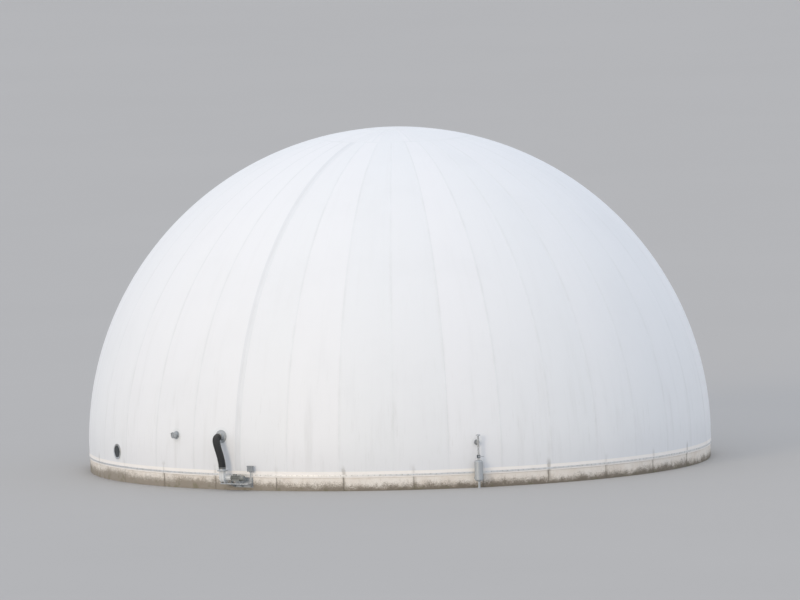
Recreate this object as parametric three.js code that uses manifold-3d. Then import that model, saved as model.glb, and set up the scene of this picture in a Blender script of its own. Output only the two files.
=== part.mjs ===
// Biogas digester: a low concrete tank ring under a tall white air-held membrane roof,
// with its support-air fan, air outlet, sight window and gas relief pot.
// Millimetres, +Z up, origin on the ground at the tank's centre, the photographed side towards -Y.
// Azimuths are degrees from -Y, positive towards +X.

import * as THREE from 'three'
import { mergeVertices } from 'three/addons/utils/BufferGeometryUtils.js'
import Module from 'manifold-3d'

// Driving dimensions
const SPHERE_R = 14000          // outer radius of the membrane roof
const SPHERE_Z = 1150           // height of its widest line
const SKIN = 30                 // membrane thickness as modelled
const WALL_H = 850              // concrete ring above the ground
const WALL_T = 300
const HEM_Z = 590               // lower edge of the hem that hangs outside the wall
const FACETS = 84               // flats round the tank
const JOINT_AZ = 15.2           // azimuth of one panel joint
const PANELS = 28               // precast wall panels round the tank
const GROOVE = 15               // chamfer at a panel joint
const GAP = 0.3                 // seat between neighbours
const ROW = 5                   // height of a roof row, degrees

const RAIL_Z = 650              // foot of the clamp rail
const RAIL_H = 80
const RAIL_T = 10
const RAILS = 7

const PATCH_R = 1200            // apex patch
const PATCH_T = 20

const FAN_AZ = -29.8            // middle of the flat that carries the fan
const FAN_X = -380              // the fan's place along that flat, plus to the right
const FAN_N = 14330             // how far out the fan shaft lies
const FAN_Z = 580
const SCROLL_X = [-590, -370]
const SCROLL_R = [165, 232]
const MOTOR_X = [-370 + GAP, 560]
const MOTOR_R = 112
const BARREL_X = -90            // where the motor's lantern ends and its barrel begins
const COWL_X = 380              // where its fan cowl begins
const FRAME_Z = 340             // top of the fan console's frame
const BEAM_X = [-600, 790]      // its two beams
const BEAM_N = [[FAN_N - 130, FAN_N - 80], [FAN_N + 80, FAN_N + 130]]
const BEAM_H = 40
const ARM_X = [[-135, -95], [270, 310], [735, 775]]
const PLATE_X = [-140, 790]     // wall plate of the console
const PLATE_Z = [130, 570]
const PLATE_T = 10
const GUSSET_T = 12
const PEDESTAL_X = [-80, 380]
const FLAP_Z = [880, 980]       // non-return flap box on the fan's outlet
const FLAP_HALF = 170
const POST_X = ARM_X[2]         // post of the switch box
const POST_N = [14090, 14130]
const SWITCH_X = [650, 930]
const SWITCH_N = [POST_N[1] + GAP, 14250]
const SWITCH_Z = [860, 1120]

const HOSE_R = 165
const HOSE_WALL = 10
const HOSE_OUT = 600            // how far the hose swings out from the roof before it turns down
const HOSE_UP = 700
const INLET_AZ = -34.8
const INLET_Z = 2370
const INLET_N = [13985, 14110]  // outer faces of its flange and its stub
const INLET_FLANGE_R = 295

const OUTLET_AZ = -45.55
const OUTLET_Z = 2340
const OUTLET_R = [95, 130]      // stub and flap drum
const OUTLET_N = [13980, 14070, 14180]
const OUTLET_FLANGE_R = 185

const WINDOW_AZ = -64.7
const WINDOW_Z = 1340
const WINDOW_R = [265, 345]
const WINDOW_N = 14030          // outer face of its frame
const PANE_N = [14002, 14016]

const PIPE_R = 45
const PIPE_WALL = 4
const GAS_AZ = 14.09
const GAS_N = 14250             // the riser and the relief pot stand this far out
const TEE = 130                 // reach of the branch from the riser's axis
const BRANCH_Z = 2020
const RIM_R = 85                // flanges on the riser's pipe
const RIM_T = 16
const GAS_COLLAR_N = [13992, GAS_N - TEE - GAP]
const GAS_COLLAR_R = 130
const RISER_TOP = 2290
const VALVE_Z = 1410
const VALVE_R = 62
const POT_R = 190
const POT_Z = [300, 1250]
const POT_LEG_R = 57
const FLANGE_R = 110            // foot flange
const FLANGE_T = 18
const CLAMP_Z = [420, 500]      // the pot's clamp

const rad = Math.PI / 180
const cosHalf = Math.cos(Math.PI / FACETS)
const hemR = Math.sqrt(SPHERE_R ** 2 - (SPHERE_Z - WALL_H) ** 2)
const hemIn = Math.sqrt((SPHERE_R - SKIN) ** 2 - (SPHERE_Z - WALL_H) ** 2)
const wallR = hemIn - GAP
const wallIn = wallR - WALL_T
const wallFace = wallR * cosHalf
const pitch = 360 / FACETS

const wasm = await Module()
wasm.setup()

const material = (color, roughness, metalness) =>
  () => new THREE.MeshStandardMaterial({ color, roughness, metalness })
const concrete = material('#CFC8BB', 0.86, 0)
const membrane = material('#F0F1F1', 0.45, 0)
const steel = material('#B9BDC0', 0.34, 1)
const galvanised = material('#A4A9AC', 0.5, 1)
const paintedHousing = material('#BFC4C6', 0.42, 0.2)
const paintedMotor = material('#7F827E', 0.45, 0.2)
const paintedValve = material('#46515A', 0.45, 0.2)
const rubber = material('#1B1C1D', 0.7, 0)
const glass = material('#20282C', 0.12, 0)

// Geometry helpers

// Turns a geometry's faces outward, whatever way it was made.
function outward (geometry) {
  geometry.deleteAttribute('normal')
  geometry.deleteAttribute('uv')
  const g = mergeVertices(geometry, 1e-3)
  const p = g.getAttribute('position')
  const idx = g.index.array
  const kept = []
  let volume = 0
  const a = new THREE.Vector3()
  const b = new THREE.Vector3()
  const c = new THREE.Vector3()
  for (let i = 0; i < idx.length; i += 3) {
    if (idx[i] === idx[i + 1] || idx[i + 1] === idx[i + 2] || idx[i] === idx[i + 2]) continue
    kept.push(idx[i], idx[i + 1], idx[i + 2])
    a.fromBufferAttribute(p, idx[i])
    b.fromBufferAttribute(p, idx[i + 1])
    c.fromBufferAttribute(p, idx[i + 2])
    volume += a.dot(b.cross(c)) / 6
  }
  if (volume < 0) {
    for (let i = 0; i < kept.length; i += 3) [kept[i + 1], kept[i + 2]] = [kept[i + 2], kept[i + 1]]
  }
  g.setIndex(kept)
  g.computeVertexNormals()
  return g
}

function solid (geometry) {
  const g = outward(geometry)
  const vertProperties = new Float32Array(g.getAttribute('position').array)
  const triVerts = new Uint32Array(g.index.array)
  return new wasm.Manifold(new wasm.Mesh({ numProp: 3, vertProperties, triVerts }))
}

function shell (manifold) {
  const m = manifold.getMesh()
  const g = new THREE.BufferGeometry()
  g.setAttribute('position', new THREE.BufferAttribute(new Float32Array(m.vertProperties), 3))
  g.setIndex(Array.from(m.triVerts))
  g.computeVertexNormals()
  return g
}

const union = (...parts) => shell(parts.map(solid).reduce((a, b) => a.add(b)))
const minus = (body, ...cuts) => shell(cuts.map(solid).reduce((a, b) => a.subtract(b), solid(body)))

// A point on a circle round the tank.
const at = (az, n, z) => new THREE.Vector3(n * Math.sin(az * rad), -n * Math.cos(az * rad), z)

// A box in the frame of a station: x to the right, n outward, z up.
function box (x0, x1, n0, n1, z0, z1) {
  const g = new THREE.BoxGeometry(x1 - x0, n1 - n0, z1 - z0)
  return g.translate((x0 + x1) / 2, -(n0 + n1) / 2, (z0 + z1) / 2)
}

// Turns a profile of [radius, height] pairs about +Z.
function turned (profile, segments = 32, start = 0) {
  const points = profile.map(([r, h]) => new THREE.Vector2(r, h))
  return new THREE.LatheGeometry(points, segments, start).rotateX(Math.PI / 2)
}

// The same profile turned about the station's outward axis, heights counted outward.
function turnedOut (profile, x, z, segments = 32) {
  return turned(profile, segments).rotateX(Math.PI / 2).translate(x, 0, z)
}

// The same profile turned about the station's own x axis.
function turnedAlong (profile, n, z, segments = 32) {
  return turned(profile, segments).rotateY(Math.PI / 2).translate(0, -n, z)
}

// A geometry made in the frame of a station, moved round to its azimuth.
const station = (az, geometry) => geometry.rotateZ(az * rad)

// A geometry of the fan, moved along the wall to the fan's place.
const byFan = geometry => station(FAN_AZ, geometry.translate(FAN_X, 0, 0))

// Lays a flat outline upright, first coordinate outward, and gives it a width along x.
function upright (outline, x0, x1) {
  const s = new THREE.Shape(outline.map(([n, z]) => new THREE.Vector2(n, z)))
  const g = new THREE.ExtrudeGeometry(s, { depth: x1 - x0, bevelEnabled: false })
  const m = new THREE.Matrix4().makeBasis(
    new THREE.Vector3(0, -1, 0), new THREE.Vector3(0, 0, 1), new THREE.Vector3(1, 0, 0))
  return g.applyMatrix4(m).translate(x0, 0, 0)
}

// An upright prism over a ring sector that follows the tank's flats.
function sector (outer, inner, z0, z1) {
  const s = new THREE.Shape([...outer, ...inner.slice().reverse()])
  const g = new THREE.ExtrudeGeometry(s, { depth: z1 - z0, bevelEnabled: false })
  return g.translate(0, 0, z0)
}

// A point of the flat-sided ring whose corners have radius r.
function onFlats (az, r) {
  const step = Math.round((az - JOINT_AZ) / pitch - 0.5)
  const mid = JOINT_AZ + (step + 0.5) * pitch
  const n = r * cosHalf / Math.cos((az - mid) * rad)
  return new THREE.Vector2(n * Math.sin(az * rad), -n * Math.cos(az * rad))
}

// A hollow pipe along a path.
function pipe (path, steps, rOut, rIn, sides) {
  const s = new THREE.Shape()
  const hole = new THREE.Path()
  for (let i = 0; i < sides; i++) {
    const a = 2 * Math.PI * i / sides
    const put = i === 0 ? 'moveTo' : 'lineTo'
    s[put](rOut * Math.cos(a), rOut * Math.sin(a))
    hole[put](rIn * Math.cos(a), rIn * Math.sin(a))
  }
  s.closePath()
  hole.closePath()
  s.holes.push(hole)
  return new THREE.ExtrudeGeometry(s, { steps, bevelEnabled: false, extrudePath: path })
}

// The assembly
const digester = new THREE.Group()
digester.name = 'biogas_digester'

function add (name, geometry, mat) {
  const mesh = new THREE.Mesh(outward(geometry), mat())
  mesh.name = name
  digester.add(mesh)
  return mesh
}

// Concrete ring: 14 segments of two precast panels each, a V groove between the two.
const perSegment = FACETS / (PANELS / 2)
const span = 360 / (PANELS / 2)
for (let k = 0; k < PANELS / 2; k++) {
  const a0 = JOINT_AZ + k * span
  const slip = GAP / 2 / wallIn / rad
  const lip = GROOVE / wallR / rad
  const outer = [onFlats(a0 + slip, wallR - GROOVE), onFlats(a0 + lip, wallR)]
  for (let i = 1; i < perSegment; i++) {
    const az = a0 + i * pitch
    if (i === perSegment / 2) {
      outer.push(onFlats(az - lip, wallR), onFlats(az, wallR - GROOVE), onFlats(az + lip, wallR))
    } else {
      outer.push(onFlats(az, wallR))
    }
  }
  outer.push(onFlats(a0 + span - lip, wallR), onFlats(a0 + span - slip, wallR - GROOVE))
  const inner = [onFlats(a0 + slip, wallIn)]
  for (let i = 1; i < perSegment; i++) inner.push(onFlats(a0 + i * pitch, wallIn))
  inner.push(onFlats(a0 + span - slip, wallIn))
  add(`wall_segment_${String(k + 1).padStart(2, '0')}`, sector(outer, inner, 0, WALL_H), concrete)
}

// Membrane roof: a little over a hemisphere, its hem hanging outside the wall.
function roofProfile (r, low) {
  const rows = []
  for (let d = 0; d <= 90; d += ROW) {
    rows.push([r * Math.sin(d * rad), SPHERE_Z + r * Math.cos(d * rad)])
  }
  const foot = Math.sqrt(r ** 2 - (SPHERE_Z - WALL_H) ** 2)
  rows[0][0] = 0
  return [...rows, [foot, WALL_H], [foot, low]]
}
const roofOuter = roofProfile(SPHERE_R, HEM_Z)
const roofInner = roofProfile(SPHERE_R - SKIN, HEM_Z)
add('outer_membrane',
  turned([...roofOuter, ...roofInner.reverse()], FACETS, JOINT_AZ * rad), membrane)

// The roof's outside as one full body a hair larger, used to fit collars to the skin.
const lowRows = roofProfile(SPHERE_R + GAP + 0.05, 400).filter(([, z]) => z < 5000)
const skinBody = () =>
  turned([[0, lowRows[0][1]], ...lowRows, [0, 400]], FACETS, JOINT_AZ * rad)

// Apex patch over the meeting point of the gores.
const apex = SPHERE_Z + SPHERE_R
const fall = (SPHERE_R - SPHERE_R * Math.cos(ROW * rad)) / (SPHERE_R * Math.sin(ROW * rad))
const lift = GAP + 0.05
add('apex_patch', turned([
  [0, apex + lift], [PATCH_R, apex + lift - fall * PATCH_R],
  [PATCH_R, apex + lift + PATCH_T - fall * PATCH_R], [0, apex + lift + PATCH_T]
], FACETS, JOINT_AZ * rad), membrane)

// Clamp rail: flat bars bolted through the hem into the wall.
const railIn = hemR + GAP
for (let k = 0; k < RAILS; k++) {
  const a0 = JOINT_AZ + pitch * 6 + k * 360 / RAILS
  const n = FACETS / RAILS
  const slip = 6 / railIn / rad
  const outer = []
  const inner = []
  for (let i = 0; i <= n; i++) {
    const az = a0 + i * pitch + (i === 0 ? slip : i === n ? -slip : 0)
    outer.push(onFlats(az, railIn + RAIL_T))
    inner.push(onFlats(az, railIn))
  }
  add(`clamp_rail_0${k + 1}`, sector(outer, inner, RAIL_Z, RAIL_Z + RAIL_H), steel)
}

// Support-air fan on a console bolted to the wall.
const plateN = wallFace + GAP
const frameN = BEAM_N[1][1]
const gussetTop = FRAME_Z - BEAM_H / 2
const gusset = [[plateN, PLATE_Z[0]], [plateN, gussetTop], [frameN, gussetTop], [frameN, gussetTop - 25]]
const motorFoot = FAN_Z - MOTOR_R - 20
add('fan_console', byFan(union(
  box(...PLATE_X, plateN, plateN + PLATE_T, ...PLATE_Z),
  ...BEAM_N.map(n => box(...BEAM_X, ...n, FRAME_Z - BEAM_H, FRAME_Z)),
  ...ARM_X.map(x => box(...x, plateN, frameN, FRAME_Z - BEAM_H, FRAME_Z)),
  ...ARM_X.map(x => upright(gusset, (x[0] + x[1] - GUSSET_T) / 2, (x[0] + x[1] + GUSSET_T) / 2)),
  box(...PEDESTAL_X, FAN_N - 120, FAN_N + 120, FRAME_Z - BEAM_H / 2, motorFoot),
  box(...POST_X, ...POST_N, FRAME_Z - BEAM_H / 2, SWITCH_Z[1] - 20)
)), galvanised)

// The snail widens from its tongue round to the outlet, which rises on the outer side.
const TONGUE = 75
const mouth = [FAN_N + SCROLL_R[0] * Math.cos(TONGUE * rad), FAN_N + SCROLL_R[1]]
const snail = []
for (let i = 0; i <= 24; i++) {
  const a = (TONGUE + (360 - TONGUE) * i / 24) * rad
  const r = SCROLL_R[0] + (SCROLL_R[1] - SCROLL_R[0]) * i / 24
  snail.push([FAN_N + r * Math.cos(a), FAN_Z + r * Math.sin(a)])
}
snail.push([mouth[1], FLAP_Z[0] - 20], [mouth[0], FLAP_Z[0] - 20])
add('fan_scroll', byFan(union(
  upright(snail, ...SCROLL_X),
  box(SCROLL_X[0] - 20, SCROLL_X[1] + 20, mouth[0] - 20, mouth[1] + 20, FLAP_Z[0] - 22, FLAP_Z[0] - GAP),
  box(SCROLL_X[0] + 20, SCROLL_X[1] - 20, FAN_N - 130, FAN_N + 130, FRAME_Z + GAP, FAN_Z - 130)
)), paintedHousing)

add('fan_inlet_guard', byFan(turnedAlong([
  [100, SCROLL_X[0] - GAP], [150, SCROLL_X[0] - GAP], [150, SCROLL_X[0] - 16],
  [118, SCROLL_X[0] - 22], [118, SCROLL_X[0] - 60], [128, SCROLL_X[0] - 66],
  [128, SCROLL_X[0] - 72], [100, SCROLL_X[0] - 72], [100, SCROLL_X[0] - GAP]
], FAN_N, FAN_Z)), galvanised)

add('fan_motor', byFan(union(
  turnedAlong([
    [0, MOTOR_X[0]], [125, MOTOR_X[0]], [125, MOTOR_X[0] + 18], [MOTOR_R - 22, MOTOR_X[0] + 22],
    [MOTOR_R - 22, BARREL_X - 4], [MOTOR_R, BARREL_X], [MOTOR_R, COWL_X],
    [MOTOR_R + 8, COWL_X + 2], [MOTOR_R + 8, MOTOR_X[1] - 25], [MOTOR_R - 25, MOTOR_X[1]], [0, MOTOR_X[1]]
  ], FAN_N, FAN_Z),
  box(PEDESTAL_X[0] + 20, PEDESTAL_X[1] - 20, FAN_N - 108, FAN_N + 108, motorFoot + GAP, motorFoot + 40),
  box(BARREL_X + 90, BARREL_X + 250, FAN_N - 65, FAN_N + 65, FAN_Z + 60, FAN_Z + MOTOR_R + 62)
)), paintedMotor)

const flapX = (SCROLL_X[0] + SCROLL_X[1]) / 2
const flapN = (mouth[0] + mouth[1]) / 2
add('flap_box', byFan(union(
  box(flapX - FLAP_HALF, flapX + FLAP_HALF, flapN - FLAP_HALF, flapN + FLAP_HALF,
    FLAP_Z[0], FLAP_Z[0] + 60),
  turned([[0, FLAP_Z[0] + 20], [HOSE_R, FLAP_Z[0] + 40], [HOSE_R, FLAP_Z[1]], [0, FLAP_Z[1]]])
    .translate(flapX, -flapN, 0)
)), galvanised)

// Switch box of the fan: a closed case under a small rain hood.
add('fan_switch_box', byFan(union(
  box(...SWITCH_X, ...SWITCH_N, ...SWITCH_Z),
  box(SWITCH_X[0] - 15, SWITCH_X[1] + 15, SWITCH_N[0], SWITCH_N[1] + 25, SWITCH_Z[1] - 3, SWITCH_Z[1] + 3)
)), galvanised)

// A flange and stub fitted to the outside of the roof, the stub with a rim if one is given.
const inside = SPHERE_R - 100
function collar (az, z, flangeR, stubR, boreR, nFlange, nEnd, rimR = 0) {
  const rim = rimR ? [[stubR, nEnd - RIM_T], [rimR, nEnd - RIM_T], [rimR, nEnd]] : [[stubR, nEnd]]
  const body = station(az, turnedOut([
    [boreR, inside], [flangeR, inside], [flangeR, nFlange], [stubR, nFlange],
    ...rim, [boreR, nEnd], [boreR, inside]
  ], 0, z, 40))
  return minus(body, skinBody())
}

// Support-air hose from the flap box up to its collar on the roof.
const hoseBore = HOSE_R - HOSE_WALL
add('inlet_collar',
  collar(INLET_AZ, INLET_Z, INLET_FLANGE_R, HOSE_R, hoseBore, ...INLET_N), galvanised)

const hoseEnd = new THREE.Vector3(flapX + FAN_X, -flapN, FLAP_Z[1] + GAP).applyAxisAngle(
  new THREE.Vector3(0, 0, 1), FAN_AZ * rad)
add('air_hose', pipe(new THREE.CubicBezierCurve3(
  at(INLET_AZ, INLET_N[1] + GAP, INLET_Z), at(INLET_AZ, INLET_N[1] + HOSE_OUT, INLET_Z),
  hoseEnd.clone().add(new THREE.Vector3(0, 0, HOSE_UP)), hoseEnd
), 18, HOSE_R, hoseBore, 20), rubber)

// Air outlet with its weighted flap housing and the hood over it.
const [stubR, drumR] = OUTLET_R
const [flangeN, stubN, drumN] = OUTLET_N
add('outlet_collar',
  collar(OUTLET_AZ, OUTLET_Z, OUTLET_FLANGE_R, stubR, stubR - 10, flangeN, stubN), galvanised)
add('outlet_flap', station(OUTLET_AZ, union(
  turnedOut([
    [0, stubN + GAP], [drumR - 15, stubN + GAP], [drumR, stubN + 15], [drumR, drumN], [0, drumN]
  ], 0, OUTLET_Z),
  box(-drumR - 22, drumR + 22, stubN + 10, drumN + 15, OUTLET_Z + drumR - 35, OUTLET_Z + drumR + 10)
)), galvanised)

// Sight window low in the roof.
const [paneR, frameR] = WINDOW_R
add('window_frame', minus(station(WINDOW_AZ, turnedOut([
  [paneR, inside], [frameR, inside], [frameR, WINDOW_N - 12], [frameR - 18, WINDOW_N],
  [paneR, WINDOW_N], [paneR, inside]
], 0, WINDOW_Z, 48)), skinBody()), steel)
add('window_glass', station(WINDOW_AZ, turnedOut([
  [0, PANE_N[0]], [paneR - GAP, PANE_N[0]], [paneR - GAP, PANE_N[1]], [0, PANE_N[1]]
], 0, WINDOW_Z, 48)), glass)

// Gas line: out of the roof through its collar into a riser that stands on the relief pot.
const bore = PIPE_R - PIPE_WALL
const [potLow, potHigh] = POT_Z
const pot = at(GAS_AZ, GAS_N, 0)
add('gas_collar',
  collar(GAS_AZ, BRANCH_Z, GAS_COLLAR_R, PIPE_R, bore, ...GAS_COLLAR_N, RIM_R), steel)

// A body turned about the axis of the pot and the riser.
const turnedAtPot = (profile, segments = 32) => turned(profile, segments).translate(pot.x, pot.y, 0)

// A body turned about the riser's branch, heights counted inward from the riser's axis.
const turnedOnBranch = profile =>
  station(GAS_AZ, turned(profile).rotateX(-Math.PI / 2).translate(0, -GAS_N, BRANCH_Z))

add('gas_riser', minus(
  union(
    turnedAtPot([[0, potHigh + GAP], [PIPE_R, potHigh + GAP], [PIPE_R, RISER_TOP], [0, RISER_TOP]]),
    turnedOnBranch([
      [0, 0], [PIPE_R, 0], [PIPE_R, TEE - RIM_T], [RIM_R, TEE - RIM_T], [RIM_R, TEE], [0, TEE]
    ])
  ),
  turnedAtPot([[0, potHigh - 50], [bore, potHigh - 50], [bore, RISER_TOP + 50], [0, RISER_TOP + 50]]),
  turnedOnBranch([[0, 0], [bore, 0], [bore, TEE + 50], [0, TEE + 50]])
), steel)

add('relief_hat', turnedAtPot([
  [0, RISER_TOP + GAP], [50, RISER_TOP + GAP], [50, RISER_TOP + 50], [95, RISER_TOP + 38],
  [100, RISER_TOP + 44], [100, RISER_TOP + 62], [28, RISER_TOP + 104], [0, RISER_TOP + 106]
]), galvanised)

const seat = PIPE_R + GAP
add('gas_valve', turnedAtPot([
  [seat, VALVE_Z - 60], [RIM_R, VALVE_Z - 60], [RIM_R, VALVE_Z - 42], [VALVE_R, VALVE_Z - 40],
  [VALVE_R, VALVE_Z + 40], [RIM_R, VALVE_Z + 42], [RIM_R, VALVE_Z + 60], [seat, VALVE_Z + 60],
  [seat, VALVE_Z - 60]
]), paintedValve)
const spindle = [GAS_N + VALVE_R + GAP, GAS_N + VALVE_R + 54]
add('valve_lever', station(GAS_AZ, union(
  turnedOut([[0, spindle[0]], [18, spindle[0]], [18, spindle[1]], [0, spindle[1]]], 0, VALVE_Z, 20),
  box(-18, 230, spindle[1] - 14, spindle[1] - 2, VALVE_Z - 14, VALVE_Z + 14)
)), galvanised)

// The relief pot stands on its foot flange and is held to the wall by a clamp.
add('relief_pot', turnedAtPot([
  [0, FLANGE_T + GAP], [POT_LEG_R, FLANGE_T + GAP], [POT_LEG_R, potLow], [120, potLow + 12],
  [POT_R - 10, potLow + 50], [POT_R, potLow + 80], [POT_R, potHigh - 80],
  [POT_R - 10, potHigh - 50], [120, potHigh - 12], [PIPE_R, potHigh], [0, potHigh]
], 40), galvanised)
add('gas_foot_flange', turnedAtPot([[0, 0], [FLANGE_R, 0], [FLANGE_R, FLANGE_T], [0, FLANGE_T]]), steel)
const clampR = POT_R + GAP
add('pot_bracket', minus(station(GAS_AZ, union(
  box(-130, 130, wallFace - 40, wallFace + 14, CLAMP_Z[0] - 20, CLAMP_Z[1] + 20),
  box(-40, 40, wallFace - 40, GAS_N - POT_R, ...CLAMP_Z),
  turned([[0, CLAMP_Z[0]], [clampR + 12, CLAMP_Z[0]], [clampR + 12, CLAMP_Z[1]], [0, CLAMP_Z[1]]], 40)
    .translate(0, -GAS_N, 0)
)),
turnedAtPot([[0, potLow], [clampR, potLow], [clampR, WALL_H], [0, WALL_H]], 40),
turned([[0, 0], [wallR + GAP, 0], [wallR + GAP, WALL_H], [0, WALL_H]], FACETS, JOINT_AZ * rad)
), galvanised)

export default digester
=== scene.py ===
"""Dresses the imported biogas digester: gored membrane roof, precast ring, clamp rail, fan and pipework.

Metres, +Z up, origin on the ground at the tank's centre, the photographed side towards -Y.
Azimuths run in degrees from -Y, positive towards +X.
"""

import math

import bpy
import numpy as np
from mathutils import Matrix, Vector


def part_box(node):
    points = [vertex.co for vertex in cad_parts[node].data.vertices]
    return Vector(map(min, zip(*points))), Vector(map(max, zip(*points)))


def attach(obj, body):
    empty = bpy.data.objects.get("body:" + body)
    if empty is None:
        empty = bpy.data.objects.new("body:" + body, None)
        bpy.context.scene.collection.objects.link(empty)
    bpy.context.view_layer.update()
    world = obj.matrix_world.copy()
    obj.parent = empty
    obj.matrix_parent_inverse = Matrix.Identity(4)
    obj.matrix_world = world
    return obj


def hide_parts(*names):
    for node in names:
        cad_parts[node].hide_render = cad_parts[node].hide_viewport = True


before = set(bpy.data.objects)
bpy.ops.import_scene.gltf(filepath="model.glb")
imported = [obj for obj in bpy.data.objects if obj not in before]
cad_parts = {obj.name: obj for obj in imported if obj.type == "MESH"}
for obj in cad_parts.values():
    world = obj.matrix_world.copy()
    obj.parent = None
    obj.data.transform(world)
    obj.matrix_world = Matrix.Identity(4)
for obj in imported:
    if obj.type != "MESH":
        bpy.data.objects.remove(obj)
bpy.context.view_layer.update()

# Driving dimensions, the roof's read from the parts of model.glb
membrane_low, membrane_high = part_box("outer_membrane")
ring_low, ring_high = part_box("wall_segment_01")
rail_low, rail_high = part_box("clamp_rail_01")
SPHERE_Z = 1.15
SPHERE_R = membrane_high.z - SPHERE_Z
HEM_Z = membrane_low.z
WALL_H = ring_high.z
WALL_R = 13.962
WALL_T = 0.3
RAIL_Z = rail_low.z
RAIL_H = rail_high.z - rail_low.z
RAIL_R = 14.0
RAIL_T = 0.010

PANELS = 28
PANEL_AZ = 15.2
PANEL_STEP = 360 / PANELS
RAILS = 7
RAIL_BOLTS = RAILS * 50

GORES = 36
GORE_STEP = 360 / GORES
SEAM_AZ = -31.2
CAP_POLAR = 14
CAP_GORES = 12
BULGE = 0.009
FABRIC_T = 0.020
SKIRT_TOP = 1.75

FAN_AZ = -29.8
FAN_X = -0.380
FAN_N = 14.330
FAN_Z = 0.580
SCROLL_X = (-0.590, -0.370)
SCROLL_R = (0.165, 0.232)
MOTOR_X = (-0.3697, 0.560)
MOTOR_R = 0.112
BARREL_X = -0.090
COWL_X = 0.380
FRAME_Z = 0.340
BEAM_X = (-0.600, 0.790)
BEAM_N = ((14.200, 14.250), (14.410, 14.460))
BEAM_H = 0.040
ARM_X = ((-0.135, -0.095), (0.270, 0.310), (0.735, 0.775))
PLATE_X = (-0.140, 0.790)
PLATE_Z = (0.130, 0.570)
PEDESTAL_X = (-0.080, 0.380)
FLAP_Z = (0.880, 0.980)
FLAP_HALF = 0.170
POST_X = (0.735, 0.775)
POST_N = (14.090, 14.130)
SWITCH_X = (0.650, 0.930)
SWITCH_N = (14.130, 14.250)
SWITCH_Z = (0.860, 1.120)
TONGUE = 75

HOSE_R = 0.165
HOSE_OUT = 0.600
HOSE_UP = 0.700
INLET_AZ = -34.8
INLET_Z = 2.370
INLET_N = 14.110
INLET_FLANGE_R = 0.295

OUTLET_AZ = -45.55
OUTLET_Z = 2.340
OUTLET_R = (0.095, 0.130)
OUTLET_N = (14.070, 14.180)
OUTLET_FLANGE_R = 0.185

WINDOW_AZ = -64.7
WINDOW_Z = 1.340
WINDOW_R = (0.265, 0.345)

PIPE_R = 0.045
GAS_AZ = 14.09
GAS_N = 14.250
TEE = 0.130
BRANCH_Z = 2.020
RIM_R = 0.085
RIM_T = 0.016
GAS_COLLAR_R = 0.130
RISER_TOP = 2.290
VALVE_Z = 1.410
VALVE_R = 0.062
POT_R = 0.190
POT_Z = (0.300, 1.250)
POT_END = 0.080
POT_LEG_R = 0.057
CLAMP_Z = (0.420, 0.500)
FLANGE_R = 0.110
FLANGE_T = 0.018

CAMERA_ELEVATION = 4.6
CAMERA_ROLL = 1.4
CAMERA_DISTANCE = 1033
CAMERA_AIM = Vector((0.15, 0, 7.35))
FRAME_WIDTH = 36.0
SENSOR = 36

UP = np.array([0.0, 0.0, 1.0])


# Surfaces: a surface is a pair, its points and a list of arrays of faces

AXES = {"z": [0, 1, 2], "x": [2, 0, 1], "n": [0, 2, 1]}


def weave(rows, cols, wrap):
    """Quads between the neighbours of a grid whose columns join round, and its rows too if asked."""
    r = np.arange(rows if wrap else rows - 1)
    r, c = (a.ravel() for a in np.meshgrid(r, np.arange(cols), indexing="ij"))
    r1, c1 = (r + 1) % rows, (c + 1) % cols
    return np.stack([r * cols + c, r * cols + c1, r1 * cols + c1, r1 * cols + c], axis=1)


def join(parts):
    """Several surfaces as one: the points in a row, and each surface's faces counted on from there."""
    points, faces, start = [], [], 0
    for p, f in parts:
        points.append(p)
        faces += [a + start for a in f]
        start += len(p)
    return np.concatenate(points), faces


def closed(points, faces):
    """A closed surface with its faces outward, by the sign of its volume as triangle fans."""
    p = points - points.mean(axis=0)
    volume = sum(np.einsum("ij,ij->", p[f[:, 0]], np.cross(p[f[:, k]], p[f[:, k + 1]]))
                 for f in faces for k in range(1, f.shape[1] - 1))
    return points, [f[:, ::-1] for f in faces] if volume < 0 else faces


def loft(grid, wrap=False):
    """A closed surface through rows of points, each row a closed outline.

    Its end rows are closed flat, or joined to each other where the rows wrap.
    """
    rows, cols, _ = grid.shape
    faces, row = [weave(rows, cols, wrap)], np.arange(cols)[None]
    if not wrap:
        faces += [row[:, ::-1], row + (rows - 1) * cols]
    return closed(grid.reshape(-1, 3), faces)


def lay(surface, along, middle=(0, 0, 0)):
    """An upright surface laid with its axis along x, n or z of a station, and moved there."""
    return closed(surface[0][:, AXES[along]] + np.array(middle, float), surface[1])


def lathe(profile, turns, along="z", middle=(0, 0, 0), ring=False):
    """A profile of (radius, height) turned about an axis: radius times cosine and sine, and height.

    Its ends are closed on the axis at the first and last heights, or a ring's are joined to each other.
    """
    profile = np.array(profile, float)
    rim = profile[profile[:, 0] > 0]
    a = np.arange(turns) * 2 * np.pi / turns
    points = np.stack([np.outer(rim[:, 0], np.cos(a)), np.outer(rim[:, 0], np.sin(a)),
                       np.repeat(rim[:, 1:], turns, axis=1)], axis=2).reshape(-1, 3)
    faces = [weave(len(rim), turns, ring)]
    if not ring:
        n, i = len(points), np.arange(turns)
        j = (i + 1) % turns
        faces += [np.stack([np.full(turns, n), j, i], axis=1),
                  np.stack([np.full(turns, n + 1), n - turns + i, n - turns + j], axis=1)]
        points = np.concatenate([points, [[0, 0, profile[0, 1]], [0, 0, profile[-1, 1]]]])
    return lay(closed(points, faces), along, middle)


def unit(v):
    """Vectors brought to length 1."""
    return v / np.linalg.norm(v, axis=-1, keepdims=True)


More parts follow.
